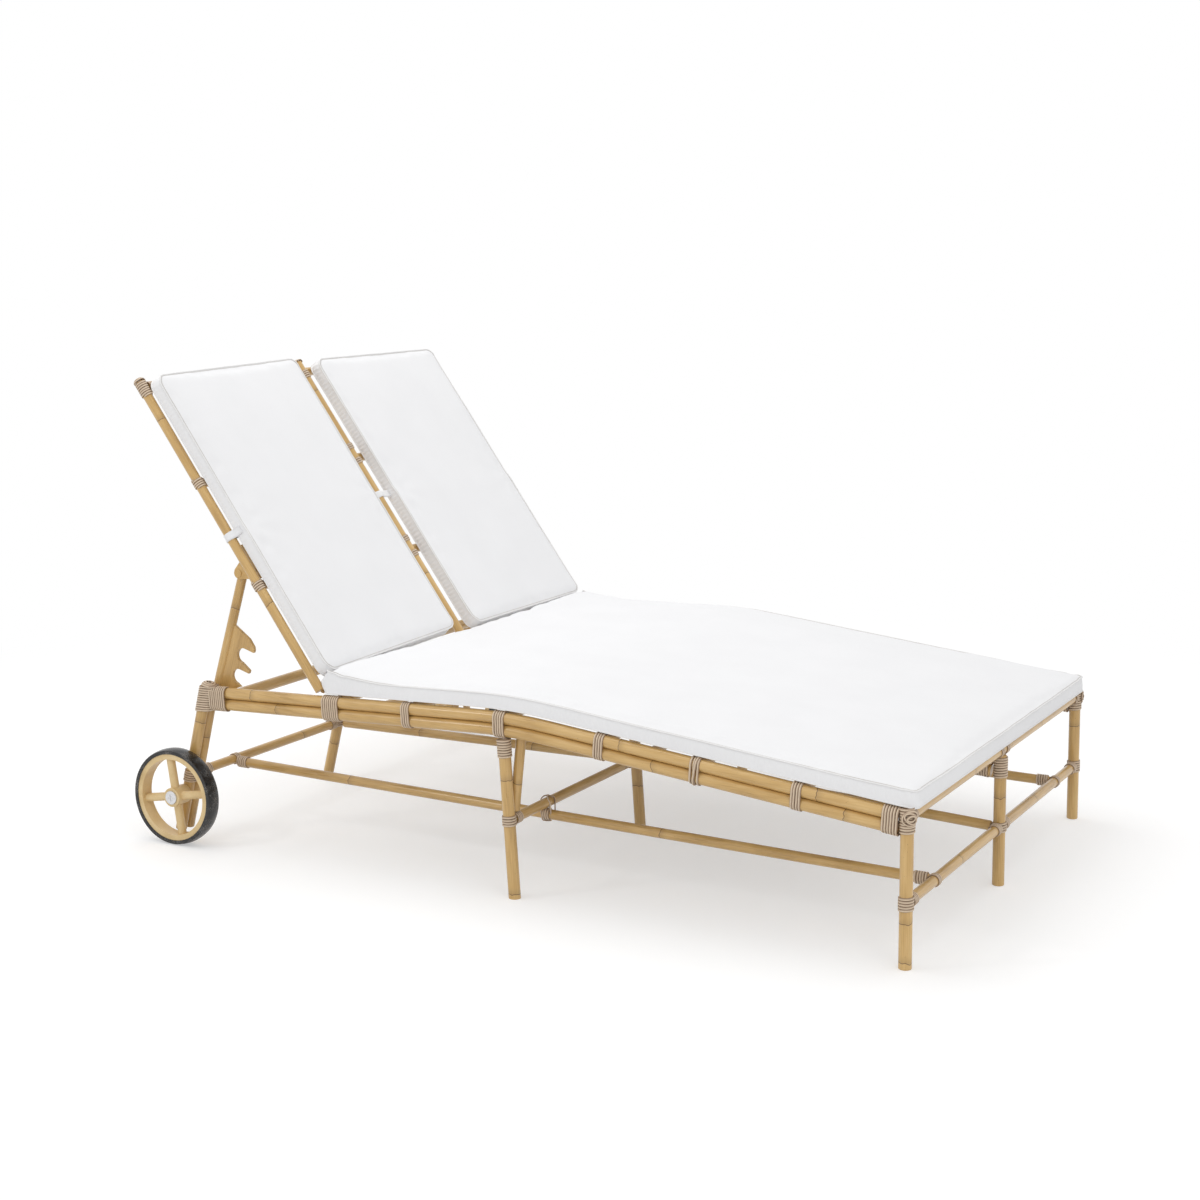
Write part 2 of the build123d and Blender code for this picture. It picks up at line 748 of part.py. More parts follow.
def seat_plane(share):
    """The plane of a seat cushion section, from its rear end to its foot end."""
    rear = hinge_distance - bar_radius - collar_wall - seat_rear_gap
    distance = rear - share * (rear + seat_overhang)
    z = rail_height(distance, 0) + binding + cushion_clearance
    return Plane(origin=(-distance, 0, z), x_dir=(0, 1, 0), z_dir=(1, 0, 0))


def seat_cushion():
    """The wide cushion over the rails and slats, bent at the knee."""
    return cushion(seat_plane, leg_spacing + 2 * seat_side_overhang, seat_thickness, seat_crown)


def back_cushion_plane(share):
    """The plane of a back cushion section, from the cushion's lower end to its top."""
    outer = right - seat_side_overhang
    inner = -back_cushion_gap / 2
    front = bar_radius + binding + cushion_clearance
    origin = back_point(back_cushion_start + share * back_cushion_length, front, (outer + inner) / 2)
    return Plane(origin=origin, x_dir=(0, 1, 0), z_dir=(cos(back_angle), 0, -sin(back_angle)))


def back_cushion():
    """One of the two cushions that lean on the back's poles."""
    width = half_width + seat_side_overhang - back_cushion_gap / 2
    return cushion(back_cushion_plane, width, back_cushion_thickness, back_cushion_crown)


def cushion_straps():
    """The loops that tie the back cushions to the side poles and the middle pole."""
    side = half_width - back_pole_inset
    inner = bar_radius + cushion_clearance
    loops = []
    for front, y in [(0, -side), (0, side), (bar_diameter + fit, 0)]:
        face = Plane(origin=back_point(strap_reach, front, y), z_dir=(-cos(back_angle), 0, sin(back_angle)))
        loops.append(extrude(face * (Circle(inner + strap_thickness) - Circle(inner)), strap_width))
    return Compound(loops)


def side_pieces():
    """The right side's pieces by name; the left side mirrors them."""
    return {
        "rail_upper": side_rail(upper_drop),
        "rail_lower": side_rail(lower_drop),
        "foot_leg": foot_leg(right, foot_leg_height),
        "mid_leg": mid_leg(right, 2 * rail_diameter + binding),
        "mid_brace": mid_brace(),
        "rear_leg_outer": rear_leg(0, rear_leg_height),
        "rear_leg_inner": rear_leg(inner_leg_inset, inner_leg_height),
        "stretcher": side_stretcher(),
        "axle": axle(),
        "wheel": wheel(),
        "tyre": tyre(),
        "back_pole": back_side_pole(),
        "prop_bracket": prop_bracket(),
        "prop_pin": prop_pin(),
        "prop": prop(),
        "back_cushion": back_cushion(),
        "bindings": side_bindings(),
    }


def middle_pieces():
    """The pieces that reach across or lie in the middle, by name."""
    places, heights = low_bar_places, low_bar_heights
    hinge_bar_height = rail_height(hinge_bar_distance, upper_drop)
    pieces = {
        "center_rail": center_rail(),
        "center_foot_leg": foot_leg(0, center_foot_leg_height),
        "center_mid_leg": mid_leg(0, center_lower_drop + rail_radius),
        "center_rear_leg": center_rear_leg(),
        "foot_low_crossbar": low_crossbar(places[0], heights[0], 0),
        "mid_low_crossbar": low_crossbar(places[1], heights[1], 0),
        "rear_low_crossbar": low_crossbar(places[2], heights[2], inner_leg_inset),
        "center_stretcher": center_stretcher(),
        "foot_top_crossbar": crossbar(0, foot_top_bar_height, bar_diameter),
        "hinge_crossbar": crossbar(hinge_bar_distance, hinge_bar_height, bar_diameter),
        "prop_crossbar": crossbar(-prop_bar_axis.X, prop_bar_axis.Z, prop_bar_diameter),
        "hinge_collars": hinge_collars(),
        "center_back_pole": back_center_pole(),
        "back_hinge_bar": back_hinge_bar(),
        "back_slat_lower": back_slat(lower_slat_reach),
        "back_slat_upper": back_slat(upper_slat_reach),
        "back_top_bar": back_slat(top_bar_reach),
        "seat_cushion": seat_cushion(),
        "cushion_straps": cushion_straps(),
        "center_bindings": center_bindings(),
        "back_bindings": back_bindings(),
    }
    for number, distance in enumerate(slat_distances, start=1):
        pieces[f"seat_slat_{number}"] = seat_slat(distance)
    return pieces


def main():
    pieces = middle_pieces()
    for name, body in side_pieces().items():
        pieces["right_" + name] = body
        pieces["left_" + name] = mirror(body, about=Plane.XZ)
    boxes = [body.bounding_box() for body in pieces.values()]
    middle = (min(box.min.X for box in boxes) + max(box.max.X for box in boxes)) / 2
    os.makedirs("parts", exist_ok=True)
    for name, body in pieces.items():
        export_step(Pos(-middle, 0, 0) * body, f"parts/{name}.step")
    print(f"{len(pieces)} pieces, the foot legs stand at x {-middle:.3f} mm")


if __name__ == "__main__":
    main()
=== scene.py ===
from math import asin, atan2, copysign, cos, exp, hypot, pi, radians, sin, sqrt, tan

import bpy
import numpy as np
from mathutils import Matrix, Vector, noise


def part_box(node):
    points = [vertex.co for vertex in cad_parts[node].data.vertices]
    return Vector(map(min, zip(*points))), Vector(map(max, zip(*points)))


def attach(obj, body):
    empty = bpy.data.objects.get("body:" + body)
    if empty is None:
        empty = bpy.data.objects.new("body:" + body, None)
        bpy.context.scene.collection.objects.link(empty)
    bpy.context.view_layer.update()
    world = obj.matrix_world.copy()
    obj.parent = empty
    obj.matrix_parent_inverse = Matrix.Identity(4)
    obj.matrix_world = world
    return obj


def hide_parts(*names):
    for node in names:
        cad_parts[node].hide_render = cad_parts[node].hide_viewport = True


# The looks of a double chaise lounger: varnished poles, cane bindings, white cushions with
# piped edges, two wheels. Lengths are metres, +X points to the foot end, +Z up.

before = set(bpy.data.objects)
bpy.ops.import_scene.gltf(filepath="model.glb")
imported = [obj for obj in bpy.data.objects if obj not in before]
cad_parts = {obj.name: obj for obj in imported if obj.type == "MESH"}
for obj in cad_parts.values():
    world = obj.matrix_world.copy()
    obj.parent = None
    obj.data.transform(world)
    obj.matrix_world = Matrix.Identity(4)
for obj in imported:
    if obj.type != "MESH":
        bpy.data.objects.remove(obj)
scene = bpy.context.scene
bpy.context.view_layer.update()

# Camera, solved from the photograph: its place from the near foot leg, looking a little down
photo_pixels = 1200.0
focal_pixels = 2034.8
camera_azimuth = 28.696
camera_tilt = 6.2
principal_rise_pixels = 145.8
camera_reach = Vector((1.4809, -4.0941, 1.5992))
sensor_width = 36.0

# Light and floor
ambient_strength = 0.80
lamp_target = Vector((0, 0, 0.4))
lamps = [  # name, place, size and power
    ("key", Vector((-1.2, 0.2, 4.2)), 3.4, 43.0),
    ("fill", Vector((3.5, -3.0, 2.2)), 1.6, 14.0),
    ("streak", Vector((-2.6, -3.4, 3.2)), 0.35, 16.0),
]
floor_reach = 30.0
floor_white = 1.13
floor_glow = 0.42
floor_fade_start = 1.75
floor_fade_end = 3.3

# Lines of the frame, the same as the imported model's
knee_distance = 1.003
knee_height = 0.4584
rear_rise_angle = radians(2.3)
front_fall_angle = radians(5.85)
knee_bend_radius = 1.5
pole_radius = 0.015
bar_radius = 0.0125
mid_leg_distance = 0.9952
mid_leg_slope = tan(radians(4.3))
rear_leg_distance = 2.0365
rear_leg_slope = tan(radians(13.7))
rear_leg_pair = 0.0302
back_angle = radians(53.2)
hinge_distance = 1.573
hinge_height = 0.4495
bar_fit = 0.0002
low_bar_heights = [0.147, 0.190, 0.177]
stretcher_inset = 0.185
lower_slat_reach = 0.313
upper_slat_reach = 0.629
top_bar_reach = 0.932
back_length = 0.95
back_side_inset = 0.005

# Cane
cane_pitch = 0.0064
cane_width = 0.0064
cane_height = 0.0029
cane_bed = 0.0001
turn_steps = 30
gap_steps = 10
strand_spacing = 0.37
ragged_height = 0.0006
tuck_depth = 0.002
tie_outset = 0.0030
knot_profile = (0.0056, 0.0024)
tie_profile = (0.0052, 0.0030)
cane_profile = [(-1.0, 0.2), (-0.86, 0.62), (-0.55, 0.95), (-0.15, 1.0), (0.2, 0.9),
                (0.55, 0.93), (0.86, 0.6), (1.0, 0.2), (0.75, 0.0), (-0.75, 0.0)]

# Where the cane goes: distances from the foot legs, heights, insets and reaches up the back
foot_corner = 0.0335
foot_leg_top = 0.3335
foot_bar_height = 0.341
foot_bar_inset = 0.0240
knot_height = 0.3415
mid_leg_drop = 0.0275
rear_leg_top = 0.3905
rear_wrap = 1.886
rear_wrap_gap = 0.020
rear_wrap_outset = 0.0032
rear_cap_height = 0.4245
rear_cap_outset = 0.0028
rear_cap_rise = 0.0085
crossed_shift = 0.0095
crossed_pitch = 0.0115
crossed_lift = 0.0022
low_bar_inset = pole_radius + 0.0168
stretcher_end = 0.0297
stretcher_fall = 2 * bar_radius + 0.0058
center_leg_top = 0.2975
center_rail_end = 0.0402
center_mid_drop = 0.0178
center_rear_top = 0.334
center_bar_inset = 0.0215
back_pole_top = back_length - 0.0232
back_cap_reach = back_length - 0.001
back_cap_radius = bar_radius + 0.0016
back_cap_rise = 0.0095
center_cap_rise = 0.0062
top_bar_inset = 0.0262
slat_wrap_shift = 0.0247
slat_wrap_inset = 0.024

# Cushions
cell = 0.012
seat_rear = 1.554
rear_fullness = 0.60
rear_bulge = 0.015
full_from = 1.33
seat_front = -0.022
seat_width = 1.3265
seat_height = 0.038
seat_crown = 0.014
seat_lift = 0.0061
back_start = {-1: 0.021, 1: 0.027}
back_lean = {-1: 0.015, 1: 0.0}
back_reach = 0.916
back_width = 0.6075
back_inner = {-1: 0.040, 1: 0.052}
back_front = 0.0186
back_height = 0.034
back_crown = 0.008
press_gap = 0.004
seat_corner = 0.017
back_corner = 0.030
piping_radius = 0.0021
low_piping_radius = piping_radius * 0.8
# A thin dark cord just inside each top edge paints the shade of the crease beside the piping: its radius
# and inset.
crease_shade_radius = 0.0008
crease_shade_inset = 0.0031
wall_bulge = 0.0014
wall_columns = 5
wall_rows = 8
gather_length = 0.0125
least_gather = 0.0002
cloth_frames = 18
cloth_settings = {
    "quality": 6, "mass": 0.25, "tension_stiffness": 18, "compression_stiffness": 18,
    "shear_stiffness": 6, "bending_stiffness": 0.35, "air_damping": 2, "use_pressure": True,
    "uniform_pressure_force": 2.2, "shrink_min": -0.012, "vertex_group_mass": "pin",
}
most_swell = 0.0035
most_sink = 0.003
crease_height = 0.0016
crease_fade = 0.16
pull_height = 0.0022
pull_fade = 0.085
strap_reach = 0.462
center_tie_reach = 0.485
strap_width = 0.023
strap_thickness = 0.0012
strap_narrowing = 0.16

ahead = Vector((1, 0, 0))
up = Vector((0, 0, 1))
near_leg_low, near_leg_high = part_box("right_foot_leg")
foot_x = (near_leg_low.x + near_leg_high.x) / 2
side_y = -(near_leg_low.y + near_leg_high.y) / 2

bend_tangent = knee_bend_radius * tan((front_fall_angle + rear_rise_angle) / 2)
bend_distance = (knee_distance - bend_tangent * cos(front_fall_angle)
                 + knee_bend_radius * sin(front_fall_angle))
bend_height = (knee_height - bend_tangent * sin(front_fall_angle)
               - knee_bend_radius * cos(front_fall_angle))


def rail_slope(distance, drop):
    share = (bend_distance - distance) / (knee_bend_radius - drop)
    angle = asin(max(-1.0, min(1.0, share)))
    return max(-rear_rise_angle, min(front_fall_angle, angle))


def rail_height(distance, drop):
    """Height, at a distance from the foot legs, of a line that runs below the rails' top."""
    slope = rail_slope(distance, drop)
    radius = knee_bend_radius - drop
    return bend_height + radius / cos(slope) + (distance - bend_distance) * tan(slope)


def back_point(reach, front, y):
    """A point of the back: reach up along it, front towards the user."""
    x = foot_x - hinge_distance - reach * cos(back_angle) + front * sin(back_angle)
    z = hinge_height + reach * sin(back_angle) + front * cos(back_angle)
    return Vector((x, y, z))


def new_object(name, data):
    piece = bpy.data.objects.new(name, data)
    scene.collection.objects.link(piece)
    return piece


# Camera

def make_camera():
    azimuth, tilt = radians(camera_azimuth), radians(camera_tilt)
    level = Vector((-sin(azimuth), cos(azimuth), 0))
    forward = level * cos(tilt) - up * sin(tilt)
    side = Vector((cos(azimuth), sin(azimuth), 0))
    data = bpy.data.cameras.new("camera")
    data.sensor_width = sensor_width
    data.lens = focal_pixels / photo_pixels * sensor_width
    data.shift_y = -principal_rise_pixels / photo_pixels
    camera = new_object("camera", data)
    turn = Matrix((side, side.cross(forward), -forward)).transposed().to_4x4()
    camera.matrix_world = Matrix.Translation(Vector((foot_x, -side_y, 0)) + camera_reach) @ turn
    scene.camera = camera


make_camera()


# Materials

def node_tree(name):
    material = bpy.data.materials.new(name)
    material.use_nodes = True
    tree = material.node_tree
    return material, tree, tree.nodes["Principled BSDF"]


def set_inputs(tree, node, inputs):
    """Gives the inputs of a node their values, or the sockets that feed them."""
    for key, value in inputs.items():
        if isinstance(value, bpy.types.NodeSocket):
            tree.links.new(value, node.inputs[key])
        else:
            node.inputs[key].default_value = value


def add(tree, kind, inputs=None, **settings):
    node = tree.nodes.new("ShaderNode" + kind)
    for key, value in settings.items():
        setattr(node, key, value)
    set_inputs(tree, node, inputs or {})
    return node


def object_place(tree):
    return add(tree, "TexCoord").outputs["Object"]


def scaled(tree, vector, factors):
    inputs = {0: vector, 1: factors}
    return add(tree, "VectorMath", inputs, operation="MULTIPLY").outputs[0]


def vector_of(tree, *values):
    return add(tree, "CombineXYZ", dict(enumerate(values))).outputs[0]


def maths(tree, operation, *values):
    inputs = dict(enumerate(values))
    return add(tree, "Math", inputs, operation=operation).outputs[0]


def smooth(tree, value, low, high, to_low=0.0, to_high=1.0):
    inputs = {"Value": value, "From Min": low, "From Max": high, "To Min": to_low, "To Max": to_high}
    return add(tree, "MapRange", inputs, interpolation_type="SMOOTHSTEP").outputs[0]


def ramp(tree, factor, stops):
    node = add(tree, "ValToRGB", {"Fac": factor})
    elements = node.color_ramp.elements
    while len(elements) < len(stops):
        elements.new(0.5)
    for element, (place, colour) in zip(elements, stops):
        element.position = place
        element.color = (*colour, 1)
    return node.outputs["Color"]


def noise_of(tree, vector, scale, detail=2.0):
    inputs = {"Vector": vector, "Scale": scale, "Detail": detail}
    return add(tree, "TexNoise", inputs).outputs["Fac"]


def mix_colour(tree, factor, first, second):
    inputs = {0: factor, 6: first, 7: second}
    return add(tree, "Mix", inputs, data_type="RGBA").outputs[2]


def bump(tree, shader, height, strength, distance):
    inputs = {"Height": height, "Strength": strength, "Distance": distance}
    set_inputs(tree, shader, {"Normal": add(tree, "Bump", inputs).outputs[0]})


honey_light = (0.76, 0.52, 0.225)
honey = (0.61, 0.385, 0.135)
honey_shade = (0.42, 0.245, 0.075)
ring_brown = (0.105, 0.045, 0.014, 1)
ring_half_width = 0.0011
ring_core_share = 0.35
ring_wander = 0.016
ring_wander_scale = 58.0
ring_strength = 0.97
stain_length = 0.02
stain_strength = 0.22
grain_stretch = 0.035
grain_scale = 420.0
broad_stretch = 0.16
broad_scale = 42.0
speck_scale = 260.0


def ring_mark(tree, local, along, place, shift):
    """Strength of the dark line at a node of the cane, with the stain beside it."""
    shifted = add(tree, "VectorMath", {0: local, 1: shift}).outputs[0]
    wander = noise_of(tree, scaled(tree, shifted, (1, 1, 0.12)), ring_wander_scale, 1.5)
    offset = maths(tree, "MULTIPLY_ADD", wander, -ring_wander, ring_wander / 2 - place)
    off = maths(tree, "ADD", along, offset)
    core = ring_half_width * ring_core_share
    line = smooth(tree, maths(tree, "ABSOLUTE", off), core, ring_half_width, 1.0, 0.0)
    stain = smooth(tree, off, 0.0, stain_length, stain_strength, 0.0)
    beyond = smooth(tree, off, -0.0005, 0.0)
    return maths(tree, "MAXIMUM", line, maths(tree, "MULTIPLY", stain, beyond))


def pole_material(name, origin, axis, rings, tone):
    """Varnished cane: grain along the pole and a ragged dark line at each of its nodes."""
    material, tree, shader = node_tree("pole_" + name)
    turn = axis.to_track_quat("Z", "Y").to_euler()
    inputs = {"Vector": object_place(tree), "Location": origin, "Rotation": turn}
    local = add(tree, "Mapping", inputs, vector_type="TEXTURE").outputs[0]
    x, y, along = add(tree, "SeparateXYZ", {"Vector": local}).outputs

    def stretched(share):
        return vector_of(tree, x, y, maths(tree, "MULTIPLY", along, share))

    grain = noise_of(tree, stretched(grain_stretch), grain_scale, 3.0)
    broad = noise_of(tree, stretched(broad_stretch), broad_scale)
    blend = maths(tree, "MULTIPLY_ADD", broad, 0.6, tone - 0.03)
    blend = maths(tree, "MULTIPLY_ADD", grain, 0.45, blend)
    colour = ramp(tree, blend, [(0.25, honey_shade), (0.5, honey), (0.78, honey_light)])
    speck = noise_of(tree, local, speck_scale, 1.0)
    colour = mix_colour(tree, smooth(tree, speck, 0.70, 0.80, 0.0, 0.35), colour, ring_brown)
    lines = 0.0
    for number, place in enumerate(rings):
        shift = (number * 1.7, number * 0.9, tone * 9)
        mark = ring_mark(tree, local, along, place, shift)
        lines = maths(tree, "MAXIMUM", lines, mark)
    colour = mix_colour(tree, maths(tree, "MULTIPLY", lines, ring_strength), colour, ring_brown)
    height = maths(tree, "SUBTRACT", maths(tree, "MULTIPLY", grain, 0.16), lines)
    set_inputs(tree, shader, {
        "Base Color": colour,
        "Roughness": smooth(tree, broad, 0.3, 0.7, 0.27, 0.37),
        "Coat Weight": 0.4,
        "Coat Roughness": 0.16,
    })
    bump(tree, shader, height, 0.4, 0.0005)
    return material


def painted_material(name, scale, stops):
    """The poles' colour on a plate, wheel or pin, mottled broad and fine."""
    material, tree, shader = node_tree(name)
    place = object_place(tree)
    broad = noise_of(tree, place, scale, 4.0)
    fine = noise_of(tree, place, scale * 22)
    blend = maths(tree, "MULTIPLY_ADD", fine, 0.2, maths(tree, "MULTIPLY", broad, 0.8))
    set_inputs(tree, shader, {
        "Base Color": ramp(tree, blend, stops),
        "Roughness": smooth(tree, fine, 0.3, 0.7, 0.34, 0.46),
    })
    bump(tree, shader, fine, 0.12, 0.0004)
    return material


# Colours across a strand: the darkest, at the strand's edges, is painted shade in the grooves between
# strands, and the cream near the ridge is partly the cane's own colour and partly a painted highlight.
cane_cream_and_highlight = (0.80, 0.68, 0.50)
cane_beige = (0.60, 0.46, 0.33)
cane_taupe = (0.42, 0.30, 0.21)
cane_groove_shade = (0.24, 0.155, 0.10)


def cane_material():
    """Split cane: cream ridges that are partly a painted highlight, a beige back, and dark edges that
    are painted shade in the grooves between strands, streaked along its length.
    """
    material, tree, shader = node_tree("cane")
    across = add(tree, "Attribute", attribute_name="across").outputs["Fac"]
    along = add(tree, "Attribute", attribute_name="along").outputs["Fac"]
    place = vector_of(tree, maths(tree, "MULTIPLY", across, 0.004), along)
    grain = noise_of(tree, scaled(tree, place, (1, 0.08, 1)), 1100.0)
    drift = noise_of(tree, place, 34.0)
    moved = maths(tree, "SUBTRACT", across, 0.25)
    moved = maths(tree, "MULTIPLY_ADD", drift, 0.5, moved)
    share = maths(tree, "MULTIPLY_ADD", moved, 0.5, 0.5)
    # Dark at both edges is painted shade in the grooves; the cream band near the ridge is partly a
    # painted highlight.
    stops = [
        (0.03, cane_groove_shade), (0.14, cane_taupe), (0.26, cane_beige), (0.34, cane_cream_and_highlight),
        (0.44, cane_cream_and_highlight), (0.54, cane_beige), (0.80, cane_taupe), (0.97, cane_groove_shade),
    ]
    streaks = smooth(tree, grain, 0.35, 0.75, 0.0, 0.45)
    set_inputs(tree, shader, {
        "Base Color": mix_colour(tree, streaks, ramp(tree, share, stops), (*cane_beige, 1)),
        "Roughness": 0.5,
    })
    bump(tree, shader, grain, 0.25, 0.0003)
    return material


def fabric_material(name, base, shade):
    """White outdoor cloth: a fine weave with soft, slightly uneven colour."""
    material, tree, shader = node_tree(name)
    place = object_place(tree)
    waves = []
    for kept in [(1, 0, 1), (0, 1, 0)]:
        inputs = {"Vector": scaled(tree, place, kept), "Scale": 420.0, "Distortion": 1.2, "Detail": 1.0}
        wave = add(tree, "TexWave", inputs, bands_direction="DIAGONAL")
        waves.append(wave.outputs["Fac"])
    set_inputs(tree, shader, {
        "Base Color": ramp(tree, noise_of(tree, place, 7.0, 3.0), [(0.3, shade), (0.7, base)]),
        "Roughness": 0.86,
        "Specular IOR Level": 0.25,
        "Sheen Weight": 0.12,
    })
    bump(tree, shader, maths(tree, "MULTIPLY", *waves), 0.18, 0.0003)
    return material


def rubber_material():
    """Black rubber, glossy where it is clean, with grey dust in patches."""
    material, tree, shader = node_tree("tyre_rubber")
    place = object_place(tree)
    patch = noise_of(tree, place, 38.0, 5.0)
    dust = noise_of(tree, place, 420.0, 3.0)
    dusty = smooth(tree, dust, 0.35, 0.65)
    amount = maths(tree, "MULTIPLY", smooth(tree, patch, 0.42, 0.66), dusty)
    stops = [(0.0, (0.012, 0.012, 0.013)), (0.5, (0.05, 0.048, 0.045)), (1.0, (0.17, 0.16, 0.15))]
    set_inputs(tree, shader, {
        "Base Color": ramp(tree, amount, stops),
        "Roughness": smooth(tree, amount, 0.0, 0.8, 0.2, 0.6),
    })
    bump(tree, shader, dust, 0.35, 0.0005)
    return material


def metal_material():
    """Brushed aluminium with fine scratches."""
    material, tree, shader = node_tree("hub_metal")
    scratch = noise_of(tree, object_place(tree), 900.0, 4.0)
    stops = [(0.3, (0.50, 0.50, 0.51)), (0.62, (0.80, 0.80, 0.81))]
    set_inputs(tree, shader, {
        "Base Color": ramp(tree, scratch, stops),
        "Metallic": 0.85,
        "Roughness": smooth(tree, scratch, 0.3, 0.7, 0.30, 0.48),
    })
    bump(tree, shader, scratch, 0.15, 0.0003)
    return material


cane = cane_material()
fabric = fabric_material("cushion_cloth", (0.89, 0.89, 0.90), (0.87, 0.87, 0.88))
# The piping's cloth is a little darker than the cover's: painted shade along the top seam.
piping_cloth = fabric_material("piping_cloth", (0.875, 0.87, 0.865), (0.84, 0.835, 0.83))
# The dark cloth on the next line is painted shade: it colours the cord that stands for the crease just
# inside the piping.
crease_shade_cloth = fabric_material("crease_shade_cloth", (0.72, 0.70, 0.67), (0.64, 0.615, 0.585))
honey_stops = [(0.3, honey_shade), (0.47, honey), (0.7, honey_light)]
wheel_stops = [(0.3, (0.64, 0.45, 0.21)), (0.5, (0.74, 0.55, 0.28)), (0.7, (0.82, 0.64, 0.37))]
paint = painted_material("honey_paint", 24.0, honey_stops)
wheel_paint = painted_material("wheel_paint", 15.0, wheel_stops)
rubber = rubber_material()
metal = metal_material()

# Node rings that the photograph shows, as distances from the foot legs, or as heights or, on
# crossbars, places along Y. The other poles have spread ones.
ring_distances = {
    "right_rail_upper": [0.208, 0.704, 1.779],
    "right_rail_lower": [0.144, 0.620, 1.699],
    "left_rail_upper": [0.330, 0.905, 1.640],
    "left_rail_lower": [0.196, 0.841, 1.752],
    "right_stretcher": [0.690, 1.610],
    "left_stretcher": [0.520, 1.390],
    "center_stretcher": [0.430, 1.330, 1.700],
    "center_rail": [0.390, 1.150],
}
ring_places = {
    "right_foot_leg": [0.105, 0.016],
    "center_foot_leg": [0.2204],
    "left_foot_leg": [0.2612],
    "right_mid_leg": [0.291, 0.012],
    "center_mid_leg": [0.120],
    "left_mid_leg": [0.268],
    "right_rear_leg_outer": [0.324, 0.235],
    "right_rear_leg_inner": [0.278],
    "left_rear_leg_outer": [0.296],
    "left_rear_leg_inner": [0.255],
    "right_back_pole": [0.653, 1.112],
    "left_back_pole": [0.712, 1.080],
    "center_back_pole": [1.141, 0.640],
    "right_prop": [0.626],
    "left_prop": [0.640],
    "foot_top_crossbar": [-0.2334, 0.3039],
    "foot_low_crossbar": [-0.312, 0.2745],
    "mid_low_crossbar": [-0.082, 0.410],
    "rear_low_crossbar": [-0.181, 0.350],
}
for node, distances in ring_distances.items():
    ring_places[node] = [foot_x - distance for distance in distances]
default_ring_shares = [-0.29, 0.23]
default_ring_step = 0.02
tone_step = 0.03
pole_words = ["rail", "leg", "brace", "stretcher", "crossbar", "slat", "pole", "hinge_bar", "top_bar"]


def grain_frame(node):
    """Middle and long axis of a pole's mesh."""
    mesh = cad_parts[node].data
    points = np.empty(len(mesh.vertices) * 3)
    mesh.vertices.foreach_get("co", points)
    points = points.reshape(-1, 3)
    low, high = points.min(0), points.max(0)
    middle = (low + high) / 2
    spread = np.cov((points - points.mean(0)).T)
    axis = Vector(np.linalg.eigh(spread)[1][:, -1])
    main = max(range(3), key=lambda index: abs(axis[index]))
    if axis[main] < 0:
        axis = -axis
    return Vector(middle), axis, main, high[main] - low[main]


def dress_poles():
    poles = {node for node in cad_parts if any(word in node for word in pole_words)}
    for number, node in enumerate(sorted(poles | {"right_prop", "left_prop"})):
        middle, axis, main, length = grain_frame(node)
        shift = middle[main] + default_ring_step * (number % 5 - 2)
        spread = [shift + share * length for share in default_ring_shares]
        rings = [(place - middle[main]) / axis[main] for place in ring_places.get(node, spread)]
        tone = tone_step * (number * 7 % 5 - 2) / 2
        set_material(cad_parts[node], pole_material(node, middle, axis, rings, tone))


def set_material(piece, material):
    if not piece.data.materials:
        piece.data.materials.append(material)
    for slot in piece.material_slots:
        slot.material = material


dress_poles()
for node, material in [("prop_bracket", paint), ("prop_pin", paint), ("wheel", wheel_paint),
                       ("tyre", rubber), ("axle", metal)]:
    for side in ["right_", "left_"]:
        set_material(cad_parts[side + node], material)
set_material(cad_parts["hinge_collars"], paint)


# Meshes

def mesh_object(name, points, faces, material, attributes=None):
    mesh = bpy.data.meshes.new(name)
    mesh.from_pydata([tuple(p) for p in points], [], faces)
    mesh.shade_smooth()
    for key, values in (attributes or {}).items():
        layer = mesh.attributes.new(key, "FLOAT", "POINT")
        layer.data.foreach_set("value", np.asarray(values, np.float32))
    mesh.materials.append(material)
    return new_object(name, mesh)


def strip_faces(rows, sides, closed_rows=False, first=0):
    """Quads of a tube: rows of points, each a closed ring of so many sides."""
    faces = []
    for row in range(rows if closed_rows else rows - 1):
        here, there = first + row * sides, first + (row + 1) % rows * sides
        for side in range(sides):
            after = (side + 1) % sides
            faces.append((here + side, here + after, there + after, there + side))
    if not closed_rows:
        faces.append(tuple(first + side for side in reversed(range(sides))))
        faces.append(tuple(first + (rows - 1) * sides + side for side in range(sides)))
    return faces


class Strands:
    """Cane strands gathered into one mesh."""

    def __init__(self, name):
        self.name = name
        self.points, self.faces, self.across, self.along = [], [], [], []
        self.length = 0.0

    def add(self, centers, normals, sides, width=cane_width, height=cane_height):
        """A flat strand through centers: its back faces the normals, its width lies along sides."""
        first = len(self.points)
        previous = centers[0]
        for center, normal, side in zip(centers, normals, sides):
            self.length += (center - previous).length
            previous = center
            for u, h in cane_profile:
                self.points.append(center + side * (u * width / 2) + normal * (h * height))
                self.across.append(u)
                self.along.append(self.length)
        self.faces += strip_faces(len(centers), len(cane_profile), first=first)
        self.length += strand_spacing

    def finish(self, body, node):
        attributes = {"across": self.across, "along": self.along}
        piece = mesh_object(self.name, self.points, self.faces, cane, attributes)
        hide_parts(node)
        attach(piece, body)


def hull_points(radius, gap, steps):
    """Points and outward directions, by length, round a circle or a pair of them gap apart."""
    half, quarter = pi * radius, pi / 2
    found = []
    for number in range(steps):
        s = 2 * (half + gap) * number / steps
        if s < half:
            x, angle = 0.0, quarter + s / radius
        elif s < half + gap:
            x, angle = s - half, -quarter
        elif s < 2 * half + gap:
            x, angle = gap, (s - half - gap) / radius - quarter
        else:
            x, angle = 2 * (half + gap) - s, quarter
        normal = Vector((cos(angle), sin(angle)))
        found.append((Vector((x, 0)) + normal * radius, normal))
    return found


